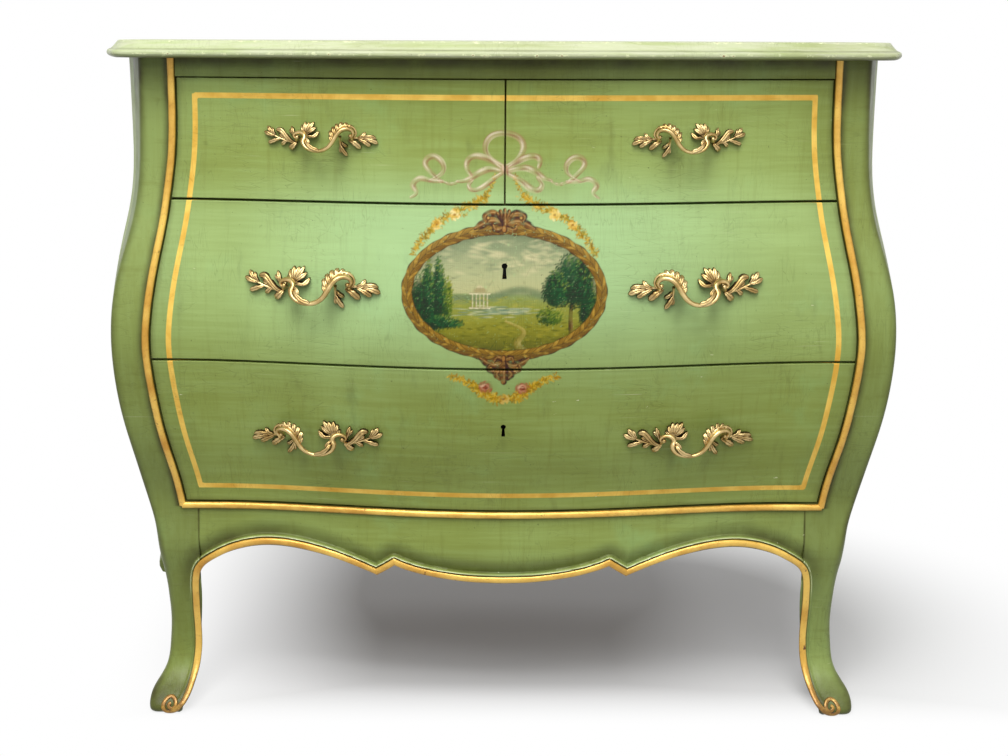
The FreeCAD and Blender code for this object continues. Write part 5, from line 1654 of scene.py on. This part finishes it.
def pull():
    """Cast pull: an S-shaped handle on its posts, a ruffle, a shell and leafy sprays."""
    casting = Casting()
    for path, radii, count, around in TUBES:
        casting.tube(path, radii, count, around)
    casting.ball(-34, 3.2, 14.5, 3.0)
    casting.ball(45, 6.4, 14, 2.8)
    for foot, tip, width in RUFFLE:
        middle = np.mean([foot, tip], axis=0) + np.array([-1.2, 0.6, 2.0])
        casting.leaf([foot, middle, tip], width, 1.9, 3)
    for tip, width in SHELL:
        middle = np.mean([SHELL_FOOT, tip], axis=0)
        casting.leaf([(*SHELL_FOOT, 7), (*middle, 8.5), (*tip, 4.5)], width, 2.8, 2)
    for path, width, rise, lobes in LEAVES:
        casting.leaf(path, width, rise, lobes)
    return casting


SMALL = 70.0 / 84.0
PULL = pull()
# level, body of the left and the right one, size, and which way the left one faces
for level, bodies, scale, facing in (
        ("top", ("drawer_top_left", "drawer_top_right"), SMALL, 1),
        ("middle", ("drawer_middle",) * 2, 1.0, 1),
        ("bottom", ("drawer_bottom",) * 2, 1.0, -1)):
    for name, body, side in zip(("_left", "_right"), bodies, (-1, 1)):
        x, z = PULL_PLACES[level]
        PULL.mount(level + name, body, side * x, z, scale, -side * facing)


# ---------------------------------------------------------------- floor, light, camera

def add_floor():
    """White floor that keeps the lamps' shadow near the chest, with a darker painted shadow there
    and a painted white glow away from it.
    """
    s = Shader("floor")
    shift = s.node("ShaderNodeVectorMath", operation="ADD")
    s.link(s.scaled((1.0 / 0.62, 1.0 / 0.40, 0.0)), shift.inputs[0])
    shift.inputs[1].default_value = (-0.08, 0.0, 0.0)
    length = s.node("ShaderNodeVectorMath", operation="LENGTH")
    s.link(shift.outputs[0], length.inputs[0])
    away = length.outputs["Value"]
    seen = s.seen()
    # painted shadow: the floor's own colour is darker near the chest
    tone_with_painted_shadow = s.mix(s.ramp(away, 1.15, 0.35), linear((228, 228, 228)), linear((200, 200, 200)))
    s.finish(s.mix(seen, linear((150, 150, 146)), tone_with_painted_shadow), 0.9, 0.0, None, 0.1)
    x, y = s.part(0), s.part(1)
    # painted light: a white glow for camera and reflection rays, growing far from the chest, and
    # behind it, to its right, to its left and before it
    painted_glow = s.most(s.ramp(away, 0.55, 1.5, 0.04, 1.0), s.ramp(y, 0.0, 0.14, 0.04, 0.13),
                  s.ramp(x, 0.08, 0.38, 0.0, 0.2), s.ramp(x, -0.12, -0.58),
                  s.ramp(y, -0.12, -0.245))
    surface = s.blend(s.times(painted_glow, seen), s.bsdf.outputs[0],
                      s.glow("ShaderNodeEmission", 1.0))
    s.link(surface, s.output.inputs[0])
    size = 12.0
    mesh = bpy.data.meshes.new("floor")
    mesh.from_pydata([(-size, -size, 0), (size, -size, 0), (size, size, 0), (-size, size, 0)],
                     [], [(0, 1, 2, 3)])
    mesh.materials.append(s.material)
    floor = bpy.data.objects.new("floor", mesh)
    bpy.context.scene.collection.objects.link(floor)


def add_room():
    """White surroundings that light less than they show."""
    world = bpy.data.worlds.new("studio")
    bpy.context.scene.world = world
    w = Nodes(world)
    room = w.blend(w.seen(), w.glow("ShaderNodeBackground", 0.30),
                   w.glow("ShaderNodeBackground", 1.0))
    w.link(room, w.node("ShaderNodeOutputWorld").inputs[0])


def lamp(name, place_m, target_m, size_x, size_y, power):
    light = bpy.data.lights.new(name, "AREA")
    light.shape = "RECTANGLE"
    light.size, light.size_y = size_x, size_y
    light.energy = power
    obj = bpy.data.objects.new(name, light)
    bpy.context.scene.collection.objects.link(obj)
    obj.location = place_m
    obj.rotation_euler = (Vector(target_m) - Vector(place_m)).to_track_quat("-Z", "Y").to_euler()


IMAGE_WIDE, FOCAL, SHIFT = 1008.0, 1200.0, (20.0, -106.7)     # image pixels
SENSOR = 36.0
EYE = (-25.0, -1963.3, 894.0)
PITCH, ROLL = math.radians(11.0), math.radians(0.24)


def add_camera():
    camera = bpy.data.cameras.new("camera")
    camera.sensor_width = SENSOR
    camera.lens = SENSOR * FOCAL / IMAGE_WIDE
    camera.shift_x, camera.shift_y = (shift / IMAGE_WIDE for shift in SHIFT)
    camera.clip_start = 0.05
    eye = bpy.data.objects.new("camera", camera)
    bpy.context.scene.collection.objects.link(eye)
    eye.location = (Vector(EYE) + Vector((0.0, BACK_Y, 0.0))) / MM
    turn = Matrix.Rotation(math.pi / 2 - PITCH, 3, "X") @ Matrix.Rotation(ROLL, 3, "Z")
    eye.rotation_euler = turn.to_euler()
    bpy.context.scene.camera = eye


add_floor()
add_room()
# place, target, size and power
lamp("key", (-0.5, -2.2, 3.0), (0.0, -0.2, 0.5), 2.0, 1.2, 46.0)
lamp("overhead", (-0.15, -1.35, 3.2), (0.0, -0.25, 0.6), 2.4, 1.3, 66.0)
lamp("sheen", (-0.1, -2.6, 2.0), (0.0, -0.25, 0.62), 2.6, 0.5, 13.0)
lamp("fill", (1.9, -2.2, 1.4), (0.1, 0.0, 0.5), 1.6, 1.6, 3.5)
add_camera()
bpy.context.scene.view_settings.view_transform = "Standard"
